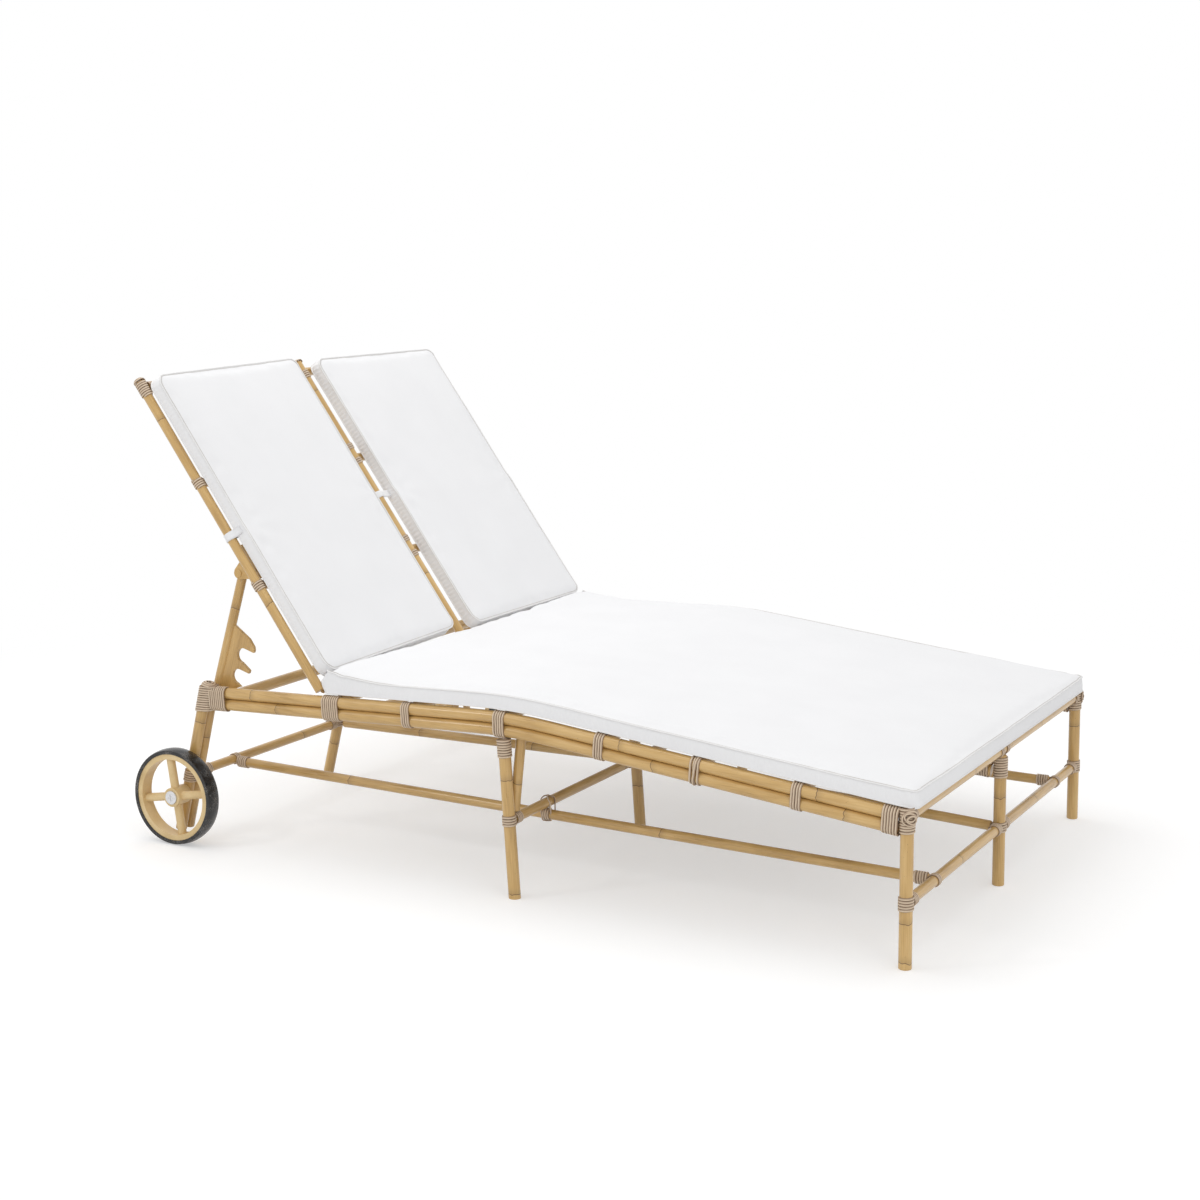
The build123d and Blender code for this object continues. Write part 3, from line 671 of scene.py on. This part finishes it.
def wind(strands, origin, x_dir, z_dir, radius, turns, gap=0.0, pitch=cane_pitch, lift=0.0, hand=1):
    """Cane wound round one pole, or two side by side, its ends tucked under."""
    x_dir, z_dir = Vector(x_dir).normalized(), Vector(z_dir).normalized()
    y_dir = z_dir.cross(x_dir)
    steps = turn_steps + (gap_steps if gap else 0)
    hull = hull_points(radius + cane_bed + lift, gap, steps)
    rows = int(turns * steps)
    seed = Vector(origin) * 31
    centers, normals, sides = [], [], []
    for row in range(rows + 1):
        point, normal = hull[row % steps]
        turned = row / steps
        ragged = noise.noise(seed + Vector((turned * 2.1, 0, 0))) * ragged_height
        tuck = min(1.0, row / 3, (rows - row) / 3) - 1.0
        height = hand * ((turned - turns / 2) * pitch) + ragged
        out = Vector((normal.x, normal.y, 0))
        bulge = noise.noise(seed + Vector((0, turned * 3.3, 1))) * 0.00025 + tuck * tuck_depth
        local = Vector((point.x, point.y, height)) + out * bulge
        centers.append(Vector(origin) + x_dir * local.x + y_dir * local.y + z_dir * local.z)
        normals.append(x_dir * out.x + y_dir * out.y)
        sides.append(z_dir)
    strands.add(centers, normals, sides)


def curve_strand(strands, points, middle, profile, steps):
    """A strand that runs smoothly through points, its back turned away from middle(point)."""
    fine = []
    count = len(points)
    for index in range(count - 1):
        a, b = points[max(index - 1, 0)], points[index]
        c, d = points[index + 1], points[min(index + 2, count - 1)]
        for step in range(steps):
            t = step / steps
            fine.append(0.5 * ((2 * b) + (c - a) * t + (2 * a - 5 * b + 4 * c - d) * t * t
                               + (3 * b - a - 3 * c + d) * t ** 3))
    fine.append(points[-1])
    normals, sides = [], []
    for index, point in enumerate(fine):
        way = (fine[min(index + 1, len(fine) - 1)] - fine[max(index - 1, 0)]).normalized()
        out = point - middle(point)
        out = (out - way * out.dot(way)).normalized()
        normals.append(out)
        sides.append(way.cross(out))
    strands.add(fine, normals, sides, *profile)


def cap(strands, origin, z_dir, radius, rise, turns):
    """A coil of cane over the end of a pole, from its rim to the middle."""
    z_dir = Vector(z_dir).normalized()
    x_dir = z_dir.orthogonal().normalized()
    y_dir = z_dir.cross(x_dir)
    rows = int(turns * turn_steps)
    centers, normals, sides = [], [], []
    for row in range(rows + 1):
        share = row / rows
        polar = radians(92 - 80 * share)
        angle = share * turns * 2 * pi
        flat = x_dir * cos(angle) + y_dir * sin(angle)
        out = (flat * sin(polar) * rise + z_dir * cos(polar) * radius).normalized()
        offset = flat * (radius * sin(polar)) + z_dir * (rise * cos(polar))
        centers.append(origin + offset)
        normals.append(out)
        way = z_dir.cross(flat).normalized()
        sides.append(out.cross(way))
    strands.add(centers, normals, sides, cane_width * 1.05, cane_height * 0.8)


# Where the cane goes. A side is -1 on the right and 1 on the left.

def rail_wrap(strands, y, distance, drop, turns, **extra):
    slope = rail_slope(distance, drop)
    along = (cos(slope), 0, -sin(slope))
    below = (-sin(slope), 0, -cos(slope))
    origin = (foot_x - distance, y, rail_height(distance, drop))
    wind(strands, origin, below, along, pole_radius, turns, 2 * pole_radius, **extra)


def leg_wrap(strands, origin, way, turns, gap=0.0):
    wind(strands, origin, ahead, way, pole_radius, turns, gap)


def bar_wrap(strands, origin, way, turns):
    wind(strands, origin, -up, way, bar_radius, turns)


def back_wrap(strands, origin, way, turns):
    wind(strands, origin, back_behind, way, bar_radius, turns)


def distance_of(node):
    low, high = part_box(node)
    return foot_x - (low.x + high.x) / 2


def mid_leg_point(height, y):
    return Vector((foot_x - mid_leg_distance - height * mid_leg_slope, y, height))


def rear_leg_point(height, y):
    return Vector((foot_x - rear_leg_distance + height * rear_leg_slope, y, height))


mid_leg_way = Vector((-mid_leg_slope, 0, 1)).normalized()
rear_leg_way = Vector((rear_leg_slope, 0, 1)).normalized()
back_way = (back_point(1, 0, 0) - back_point(0, 0, 0)).normalized()
back_behind = (back_point(0, -1, 0) - back_point(0, 0, 0)).normalized()
low_bar_points = [Vector((foot_x, 0, low_bar_heights[0])), mid_leg_point(low_bar_heights[1], 0),
                  rear_leg_point(low_bar_heights[2], 0)]


def side_cane(side, name):
    y = side * side_y
    strands = Strands(name + "_cane")
    places = [(distance_of("hinge_crossbar"), 8), (foot_corner, 6), (distance_of("seat_slat_1"), 4),
              (distance_of("seat_slat_2"), 5), (distance_of("seat_slat_3"), 4),
              (distance_of("seat_slat_5"), 4)]
    for distance, turns in places:
        rail_wrap(strands, y, distance, pole_radius, turns)
    crossed = distance_of("seat_slat_4")
    for shift in [-crossed_shift, crossed_shift]:
        rail_wrap(strands, y, crossed + shift, pole_radius, 1)
    rail_wrap(strands, y, crossed, pole_radius, 1, pitch=crossed_pitch)
    rail_wrap(strands, y, crossed, pole_radius, 1, pitch=crossed_pitch, lift=crossed_lift, hand=-1)
    leg_cane(strands, side, y)
    low_bar_cane(strands, side, y)
    out = Vector((1, side, 0)).normalized()
    corner_knot(strands, Vector((foot_x, y, knot_height)), out)
    strands.finish("base_frame", name + "_bindings")


def leg_cane(strands, side, y):
    """The legs of one side: their tops, and where the low bars meet them."""
    inward = Vector((0, -side, 0))
    leg_wrap(strands, (foot_x, y, foot_leg_top), up, 9)
    bar_wrap(strands, Vector((foot_x, y, foot_bar_height)) + inward * foot_bar_inset, inward, 3)
    leg_wrap(strands, (foot_x, y, low_bar_heights[0]), up, 5)
    top = rail_height(knee_distance, 4 * pole_radius) - mid_leg_drop
    leg_wrap(strands, mid_leg_point(top, y), mid_leg_way, 7)
    leg_wrap(strands, mid_leg_point(low_bar_heights[1], y), mid_leg_way, 4)
    pair = rear_leg_point(low_bar_heights[2], y)
    wind(strands, pair, inward, rear_leg_way, pole_radius, 5, rear_leg_pair)
    rear_y = y + side * rear_wrap_outset
    leg_wrap(strands, rear_leg_point(rear_leg_top, rear_y), rear_leg_way, 11, rear_wrap_gap)
    rail_wrap(strands, rear_y, rear_wrap, pole_radius, 8)
    corner = rear_leg_point(rear_cap_height, rear_y) + ahead * (rear_wrap_gap / 2)
    cap(strands, corner, rear_leg_way, pole_radius + rear_cap_outset, rear_cap_rise, 3.4)


def low_bar_cane(strands, side, y):
    """The low bars' ends on one side and the stretcher that crosses them."""
    inward = Vector((0, -side, 0))
    for index, point in enumerate(low_bar_points):
        inset = rear_leg_pair if index == 2 else 0.0
        outer = Vector((point.x, y, point.z)) + inward * (inset + low_bar_inset)
        bar_wrap(strands, outer, inward, 4)
        bar_wrap(strands, Vector((point.x, side * low_bar_inset, point.z)), inward, 4)
    stretcher_y = y - side * stretcher_inset
    middle, rear = [foot_x - point.x for point in low_bar_points[1:]]
    climb = (low_bar_heights[1] - stretcher_fall - low_bar_heights[0]) / middle
    for index, distance in enumerate([stretcher_end, middle, rear - stretcher_end]):
        height = low_bar_heights[0] + distance * climb
        origin = Vector((foot_x - distance, stretcher_y, height))
        bar = low_bar_points[index]
        crossing = Vector((bar.x, stretcher_y, bar.z))
        if index == 1:
            bar_wrap(strands, origin, ahead, 3)
            for hand in [1, -1]:
                cross_tie(strands, crossing, origin, hand)
        else:
            bar_wrap(strands, origin, ahead, 5)
            bar_wrap(strands, crossing, inward, 3)


def cross_tie(strands, upper, lower, hand, steps=12):
    """A loop that ties the stretcher below the middle bar, aslant over both."""
    radius = bar_radius + tie_outset
    turn = Vector((1, hand, 0)).normalized()
    other = up.cross(turn)

    def middle(point):
        return lower if point.z < (upper.z + lower.z) / 2 else upper

    points = []
    for step in range(steps + 1):
        angle = 2 * pi * step / steps
        place = upper if sin(angle) > 0 else lower
        offset = up * (radius * sin(angle)) + other * (radius * 1.12 * cos(angle))
        points.append(place + offset + turn * (0.004 * sin(2 * angle)))
    curve_strand(strands, points, middle, tie_profile, 4)


def corner_knot(strands, center, out, steps=8):
    """Loops of cane laid over each other where the rail meets the foot leg's top."""
    side = up.cross(out)
    ball = center - out * 0.004
    loops = [(0.0175, 0.0150, 0.5), (0.0145, 0.0105, -0.6), (0.0095, 0.0055, 0.2)]
    for number, (wide, high, turn) in enumerate(loops):
        points = []
        for step in range(steps + 1):
            angle = 2 * pi * step / steps
            a, b = wide * cos(angle), high * sin(angle)
            u = a * cos(turn) - b * sin(turn)
            v = a * sin(turn) + b * cos(turn)
            depth = sqrt(max(0.0, (pole_radius + 0.0040) ** 2 - u * u))
            depth += 0.0012 * number + 0.0008 * sin(3 * angle)
            points.append(center + side * u + up * v + out * depth)
        curve_strand(strands, points, lambda point: ball, knot_profile, 5)


def center_cane():
    strands = Strands("center_cane")
    leg_wrap(strands, (foot_x, 0, center_leg_top), up, 8)
    leg_wrap(strands, (foot_x, 0, low_bar_heights[0]), up, 4)
    drop = pole_radius + bar_radius + bar_fit + pole_radius
    top = rail_height(knee_distance, drop + 3 * pole_radius) - center_mid_drop
    for height in [top, low_bar_heights[1]]:
        leg_wrap(strands, mid_leg_point(height, 0), mid_leg_way, 4)
    for height in [low_bar_heights[2], center_rear_top]:
        leg_wrap(strands, rear_leg_point(height, 0), rear_leg_way, 4)
    rail_wrap(strands, 0, center_rail_end, drop, 5)
    for y in [-center_bar_inset, center_bar_inset]:
        bar_wrap(strands, (foot_x, y, foot_bar_height), (0, 1, 0), 3)
    strands.finish("base_frame", "center_bindings")


def back_cane():
    strands = Strands("back_cane")
    for side in [-1, 1]:
        y = side * (side_y - back_side_inset)
        for reach, turns in [(lower_slat_reach, 4), (upper_slat_reach, 4), (back_pole_top, 7)]:
            back_wrap(strands, back_point(reach, 0, y), back_way, turns)
        cap(strands, back_point(back_cap_reach, 0, y), back_way, back_cap_radius, back_cap_rise, 2.6)
        end = back_point(top_bar_reach, 0, y - side * top_bar_inset)
        back_wrap(strands, end, (0, side, 0), 4)
    front = 2 * bar_radius + bar_fit
    for reach in [lower_slat_reach, upper_slat_reach]:
        for shift in [-slat_wrap_shift, slat_wrap_shift]:
            back_wrap(strands, back_point(reach + shift, front, 0), back_way, 3)
        for y in [-slat_wrap_inset, slat_wrap_inset]:
            back_wrap(strands, back_point(reach, 0, y), (0, 1, 0), 3)
    back_wrap(strands, back_point(top_bar_reach - slat_wrap_shift, front, 0), back_way, 4)
    top = back_point(back_cap_reach, front, 0)
    cap(strands, top, back_way, back_cap_radius, center_cap_rise, 2.2)
    strands.finish("backrest", "back_bindings")


side_cane(-1, "right")
side_cane(1, "left")
center_cane()
back_cane()


# Cushions. A cushion is made flat, as a box of panels, blown up a little as cloth, and laid in
# place. Its walls are a gathered band sewn between the panels' edges, with a piped seam.

def rounded_plan(a, b, length, width, radius):
    """Moves a point of a rectangle so that the rectangle's corners are round."""
    off = [a - length / 2, b - width / 2]
    inner = [length / 2 - radius, width / 2 - radius]
    over = [max(0.0, abs(o) - i) / radius for o, i in zip(off, inner)]
    if min(over) > 0:
        for k in range(2):
            turned = over[k] * sqrt(1 - over[1 - k] ** 2 / 2)
            off[k] = copysign(inner[k] + turned * radius, off[k])
    return off[0] + length / 2, off[1] + width / 2


def perimeter(columns, rows):
    """Grid places round the edge, in order, counterclockwise."""
    loop = [(i, 0) for i in range(columns)] + [(columns, j) for j in range(rows)]
    loop += [(i, rows) for i in range(columns, 0, -1)] + [(0, j) for j in range(rows, 0, -1)]
    return loop


def flat_cushion(length, width, height, crown, corner):
    """The closed box: its points, faces, the index of each grid point, and its edge in order."""
    columns, rows = round(length / cell), round(width / cell)
    points, faces, index = [], [], {}
    for level in ["bottom", "top"]:
        for i in range(columns + 1):
            for j in range(rows + 1):
                a, b = rounded_plan(length * i / columns, width * j / rows, length, width, corner)
                p, q = 2 * i / columns - 1, 2 * j / rows - 1
                dome = (1 - abs(p) ** 5) * (1 - abs(q) ** 5)
                c = height + crown * dome if level == "top" else 0.0
                index[level, i, j] = len(points)
                points.append((a, b, c))
    for i in range(columns):
        for j in range(rows):
            quad = [(i, j), (i + 1, j), (i + 1, j + 1), (i, j + 1)]
            faces.append(tuple(index["top", *place] for place in quad))
            faces.append(tuple(index["bottom", *place] for place in reversed(quad)))
    loop = perimeter(columns, rows)
    count = len(loop)
    levels = [[index["bottom", *place] for place in loop]]
    for share in [1 / 3, 2 / 3]:
        ring = []
        for place in loop:
            a, b, _ = points[index["bottom", *place]]
            ring.append(len(points))
            points.append((a, b, height * share))
        levels.append(ring)
    levels.append([index["top", *place] for place in loop])
    for lower, upper in zip(levels, levels[1:]):
        for k in range(count):
            after = (k + 1) % count
            faces.append((lower[k], lower[after], upper[after], upper[k]))
    return points, faces, index, loop, (columns, rows)


def blow_up(points, faces, pinned):
    """The points after a short cloth simulation with pressure inside, the pinned ones held."""
    cloth = mesh_object("cloth_trial", points, faces, fabric)
    group = cloth.vertex_groups.new(name="pin")
    group.add(pinned, 1.0, "REPLACE")
    modifier = cloth.modifiers.new("cloth", "CLOTH")
    for key, value in cloth_settings.items():
        setattr(modifier.settings, key, value)
    modifier.settings.effector_weights.gravity = 0
    modifier.collision_settings.use_collision = False
    modifier.point_cache.frame_start = 1
    modifier.point_cache.frame_end = cloth_frames
    for number in range(1, cloth_frames + 1):
        scene.frame_set(number)
    found = cloth.evaluated_get(bpy.context.evaluated_depsgraph_get()).to_mesh()
    moved = np.empty(len(found.vertices) * 3)
    found.vertices.foreach_get("co", moved)
    bpy.data.meshes.remove(cloth.data)
    scene.frame_set(1)
    return moved.reshape(-1, 3)


def creases(a, b, length, width, anchors, seed):
    """Height of the soft creases of the cover at a point of its top."""
    place = Vector((a * 5.2, b * 5.2, seed))
    bent = Vector((a * 3.0 + noise.noise(place * 1.7) * 0.8, b * 17.0, seed + 5))
    edge = min(a, length - a, b, width - b)
    lines = max(0.0, noise.noise(bent)) * crease_height * exp(-edge / crease_fade)
    height = noise.noise(place) * 0.0012 + lines
    for anchor_a, anchor_b in anchors:
        off_a, off_b = a - anchor_a, b - anchor_b
        reach = hypot(off_a, off_b)
        fan = sin(9 * atan2(off_a, abs(off_b) + 1e-6) + seed)
        height += pull_height * fan * exp(-reach / pull_fade) * min(1.0, reach / 0.015)
    return height


def cushion(name, node, body, size, corner, place, gathers, anchors, seed):
    """One cushion: its cover of panels and walls, its piping, and a thin dark cord just inside the top
    edge that paints the shade of the crease beside the piping.
    """
    def laid(flat_points):
        return [place(*point) for point in flat_points]

    length, width, height, crown = size
    points, faces, index, loop, cells = flat_cushion(length, width, height, crown, corner)
    rest = np.array(points)
    moved = rest.copy()
    grid = (cells[0] + 1) * (cells[1] + 1)
    shift = blow_up(points, faces, list(range(grid))) - rest
    shift[:, 2] = np.clip(shift[:, 2], -most_sink, most_swell)
    shift[:, :2] = np.clip(shift[:, :2], -most_sink, most_swell)
    moved = rest + shift
    for spot in range(grid, 2 * grid):
        a, b, _ = rest[spot]
        moved[spot, 2] += creases(a, b, length, width, anchors, seed)
    panel_faces = [face for face in faces if max(face) < 2 * grid]
    panels = mesh_object(name + "_panels", laid(moved[:2 * grid]), panel_faces, fabric)
    modifier = panels.modifiers.new("smooth", "SUBSURF")
    modifier.levels = modifier.render_levels = 1
    wall_points, wall_faces, edges, crease_shade_points = walls(moved, index, loop, cells, gathers, seed)
    band = mesh_object(name + "_band", laid(wall_points), wall_faces, fabric)
    cover = joined(name, [panels, band])
    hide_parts(node)
    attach(cover, body)
    seams = [(laid(edges[0]), piping_radius), (laid(edges[1]), low_piping_radius)]
    piping = cords(name + "_piping", seams, 8, piping_cloth)
    # A thin dark cord that paints the shade of the crease just inside the top edge.
    crease_shade_line = cords(name + "_stitching", [(laid(crease_shade_points), crease_shade_radius)], 6, crease_shade_cloth)
    for piece in [piping, crease_shade_line]:
        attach(piece, body)


def band_column(low, high, out, gather, fold):
    """Points of the band from its low to its high edge."""
    column = []
    for row in range(wall_rows + 1):
        share = row / wall_rows
        bulge = wall_bulge * 4 * share * (1 - share)
        pleat = gather * fold * (0.25 + 0.75 * sin(pi * min(1.0, share * 1.15)))
        if row in (0, wall_rows):
            bulge = pleat = 0.0
        column.append(low.lerp(high, share) + out * (bulge + pleat))
    return column


def walls(moved, index, loop, cells, gathers, seed):
    """The band between the panels' edges, gathered where it is sewn in, the lines of its piping, and a
    line of painted shade just inside the top edge.
    """
    def inside(spot):
        i, j = [min(max(place, 1), count - 1) for place, count in zip(spot, cells)]
        return Vector(moved[index["top", i, j]])

    bottom = [Vector(moved[index["bottom", *spot]]) for spot in loop]
    top = [Vector(moved[index["top", *spot]]) for spot in loop]
    inner = [inside(spot) for spot in loop]
    count = len(loop)
    points, top_edge, bottom_edge, crease_shade_points = [], [], [], []
    length = 0.0
    previous = top[0]
    for k in range(count):
        after = (k + 1) % count
        way = (top[(k + 2) % count] - top[k - 1]).normalized()
        out = Vector((way.y, -way.x, 0)).normalized()
        depth = gathers.get(wall_side(*loop[k], *cells), least_gather)
        for step in range(wall_columns):
            share = step / wall_columns
            low, high = bottom[k].lerp(bottom[after], share), top[k].lerp(top[after], share)
            length += (high - previous).length
            previous = high
            wander = noise.noise(Vector((length * 9, seed, 2))) * 2.2
            fold = sin(2 * pi * length / gather_length + wander)
            gather = depth * (0.65 + 0.35 * noise.noise(Vector((length * 31, 4, seed))))
            points += band_column(low, high, out, gather, fold)
            if step % 2 == 0:
                top_edge.append(high + out * (piping_radius * 0.55))
                # Points of a line of painted shade just inside the top edge, where the crease beside the
                # piping falls.
                way_in = (inner[k].lerp(inner[after], share) - high).normalized()
                crease_shade_points.append(high + way_in * crease_shade_inset + up * (crease_shade_radius * 0.4))
                bottom_edge.append(low + out * (piping_radius * 0.4) + up * low_piping_radius)
    faces = []
    tall = wall_rows + 1
    columns = count * wall_columns
    for k in range(columns):
        here, there = k * tall, (k + 1) % columns * tall
        for row in range(wall_rows):
            faces.append((here + row, there + row, there + row + 1, here + row + 1))
    return points, faces, (top_edge, bottom_edge), crease_shade_points


def wall_side(i, j, columns, rows):
    """The wall that a place of the edge is in, at the low or the high end of a or b."""
    if j == 0:
        return "b_low"
    if j == rows:
        return "b_high"
    return "a_high" if i == columns else "a_low"


def cords(name, lines, sides, material):
    """Closed round cords, each with its line and radius, in one mesh."""
    points, faces = [], []
    for line, radius in lines:
        count = len(line)
        faces += strip_faces(count, sides, closed_rows=True, first=len(points))
        for k, point in enumerate(line):
            way = (line[(k + 1) % count] - line[k - 1]).normalized()
            across = way.orthogonal() if abs(way.z) > 0.9 else way.cross(up)
            across.normalize()
            other = way.cross(across)
            for side in range(sides):
                angle = 2 * pi * side / sides
                turned = across * cos(angle) + other * sin(angle)
                points.append(point + turned * radius)
    return mesh_object(name, points, faces, material)


def joined(name, pieces):
    """One object of several, their modifiers applied."""
    graph = bpy.context.evaluated_depsgraph_get()
    points, faces = [], []
    for piece in pieces:
        found = piece.evaluated_get(graph).to_mesh()
        first = len(points)
        points += [v.co.copy() for v in found.vertices]
        faces += [tuple(first + v for v in p.vertices) for p in found.polygons]
    for piece in pieces:
        bpy.data.meshes.remove(piece.data)
    return mesh_object(name, points, faces, fabric)


def place_seat(a, b, c):
    """Lays the flat seat along the rails, its rear end fuller and pressed by the back cushions."""
    distance = seat_rear - a
    share = max(0.0, distance - full_from) / (seat_rear - full_from)
    full = 1 + rear_fullness * share ** 2
    bulge = rear_bulge * share ** 6 * sin(pi * min(1.0, max(0.0, c / seat_height)))
    height = rail_height(distance, 0.0) + seat_lift + c * full
    point = Vector((foot_x - distance - bulge, b - seat_width / 2, height))
    if abs(point.y) < back_inner[1] + back_width:
        lowest = back_point(min(back_start.values()), back_front + back_height, 0)
        past = lowest.x - point.x + press_gap
        if past > 0:
            point.z = min(point.z, lowest.z - press_gap - past / tan(back_angle))
    return point


def back_placer(side):
    def place_back(a, b, c):
        y = side * (back_inner[side] + b)
        reach = back_start[side] + a + back_lean[side] * (1 - b / back_width)
        return back_point(reach, back_front + c, y)
    return place_back


def tie_anchors(side):
    """Where the ties pull at a back cushion: its inner and its outer edge."""
    inner = center_tie_reach - back_start[side] - back_lean[side]
    return [(inner, 0.0), (strap_reach - back_start[side], back_width)]


def make_cushions():
    seat_size = (seat_rear - seat_front, seat_width, seat_height, seat_crown)
    seat_gathers = {"b_low": 0.0006, "b_high": 0.0013, "a_low": 0.0008}
    cushion("seat_cover", "seat_cushion", "base_frame", seat_size, seat_corner, place_seat,
            seat_gathers, [], 3.1)
    back_size = (back_reach, back_width, back_height, back_crown)
    for side, name, gathers, seed in [(-1, "right", {"b_low": 0.0013, "b_high": 0.0004}, 8.4),
                                      (1, "left", {"b_low": 0.0021, "b_high": 0.0005}, 15.7)]:
        cushion(name + "_back_cover", name + "_back_cushion", "backrest", back_size, back_corner,
                back_placer(side), gathers, tie_anchors(side), seed)


make_cushions()


# Straps

def strap(line, seed):
    """Rings of a flat strap along line, a little rumpled, its width up the back."""
    shares = [-1, -0.5, 0, 0.5, 1]
    outline = [(share, 0) for share in shares] + [(share, 1) for share in reversed(shares)]
    rings = []
    for k, (point, normal) in enumerate(line):
        narrow = 1 - strap_narrowing * sin(pi * k / (len(line) - 1))
        ring = []
        for share, level in outline:
            ripple = noise.noise(Vector((k * 0.35, share * 1.6, seed))) * 0.0009
            wide = back_way * (share * narrow * strap_width / 2)
            ring.append(point + wide + normal * (level * strap_thickness + ripple))
        rings.append(ring)
    return rings


def round_pole(reach, middle_front, middle_y, radius, angles, side=1):
    """Points and outward directions of a strap round a pole of the back."""
    line = []
    for angle in angles:
        front, across = sin(angle), side * cos(angle)
        normal = (back_point(0, front, across) - back_point(0, 0, 0)).normalized()
        y = middle_y + radius * across
        line.append((back_point(reach, middle_front + radius * front, y), normal))
    return line


def side_strap(side):
    y = side * (side_y - back_side_inset)
    outer = side * (back_inner[side] + back_width + 0.0008)
    outward = Vector((0, side, 0))
    line = [(back_point(strap_reach, back_front + front, outer), outward) for front in [0.020, 0.004]]
    angles = [radians(50 - 290 * step / 14) for step in range(15)]
    line += round_pole(strap_reach, 0, y, bar_radius + 0.0006, angles, side)
    end = back_point(strap_reach, back_front - 0.0016, y - side * 0.030)
    return line + [(end, back_behind)]


def center_strap():
    """The short tie over the middle pole, from one back cushion to the other."""
    right, left = -back_inner[-1], back_inner[1]
    ends = [(0.010, right - 0.001), (0.012, right + 0.012), (0.012, left - 0.012), (0.010, left + 0.001)]
    flat = [(back_point(center_tie_reach, back_front + front, y), -back_behind) for front, y in ends]
    angles = [radians(150 - 120 * step / 8) for step in range(9)]
    pole_front = 2 * bar_radius + bar_fit
    over = round_pole(center_tie_reach, pole_front, 0, bar_radius + 0.0008, angles)
    return flat[:2] + over + flat[2:]


def make_straps():
    points, faces = [], []
    for line, seed in [(side_strap(-1), 1.0), (side_strap(1), 3.0), (center_strap(), 7.0)]:
        rings = strap(line, seed)
        faces += strip_faces(len(rings), len(rings[0]), first=len(points))
        points += [point for ring in rings for point in ring]
    straps = mesh_object("cushion_ties", points, faces, fabric)
    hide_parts("cushion_straps")
    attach(straps, "backrest")


make_straps()


# Floor, world and lamps

def seen_rays(tree):
    path = add(tree, "LightPath").outputs
    seen = maths(tree, "MAXIMUM", path["Is Camera Ray"], path["Is Glossy Ray"])
    return maths(tree, "MAXIMUM", seen, path["Is Transmission Ray"])


def make_floor():
    reach = floor_reach
    corners = [(-reach, -reach, 0), (reach, -reach, 0), (reach, reach, 0), (-reach, reach, 0)]
    material, tree, shader = node_tree("floor_white")
    seen = seen_rays(tree)
    colour = mix_colour(tree, seen, (0.8, 0.8, 0.8, 1), (floor_white, floor_white, floor_white, 1))
    diffuse = add(tree, "BsdfDiffuse", {"Color": colour})
    glow = add(tree, "Emission", {"Strength": 1.0})
    place = add(tree, "NewGeometry").outputs["Position"]
    far = add(tree, "VectorMath", {0: place}, operation="LENGTH").outputs["Value"]
    fade = smooth(tree, far, floor_fade_start, floor_fade_end, floor_glow)
    share = maths(tree, "MULTIPLY", seen, fade)
    mixed = add(tree, "MixShader", {0: share, 1: diffuse.outputs[0], 2: glow.outputs[0]})
    tree.links.new(mixed.outputs[0], tree.nodes["Material Output"].inputs["Surface"])
    tree.nodes.remove(shader)
    floor = mesh_object("floor", corners, [(0, 1, 2, 3)], material)


def make_world():
    world = bpy.data.worlds.new("studio")
    scene.world = world
    world.use_nodes = True
    tree = world.node_tree
    background = tree.nodes["Background"]
    strength = smooth(tree, seen_rays(tree), 0.0, 1.0, ambient_strength, 1.0)
    set_inputs(tree, background, {"Strength": strength, "Color": (1, 1, 1, 1)})


def make_lamp(name, place, size, power):
    data = bpy.data.lights.new(name, "AREA")
    data.shape = "DISK"
    data.size = size
    data.energy = power
    lamp = new_object(name, data)
    lamp.location = place
    aim = lamp_target - place
    lamp.rotation_mode = "QUATERNION"
    lamp.rotation_quaternion = aim.to_track_quat("-Z", "Y")


make_floor()
make_world()
for lamp in lamps:
    make_lamp(*lamp)
scene.view_settings.view_transform = "Standard"
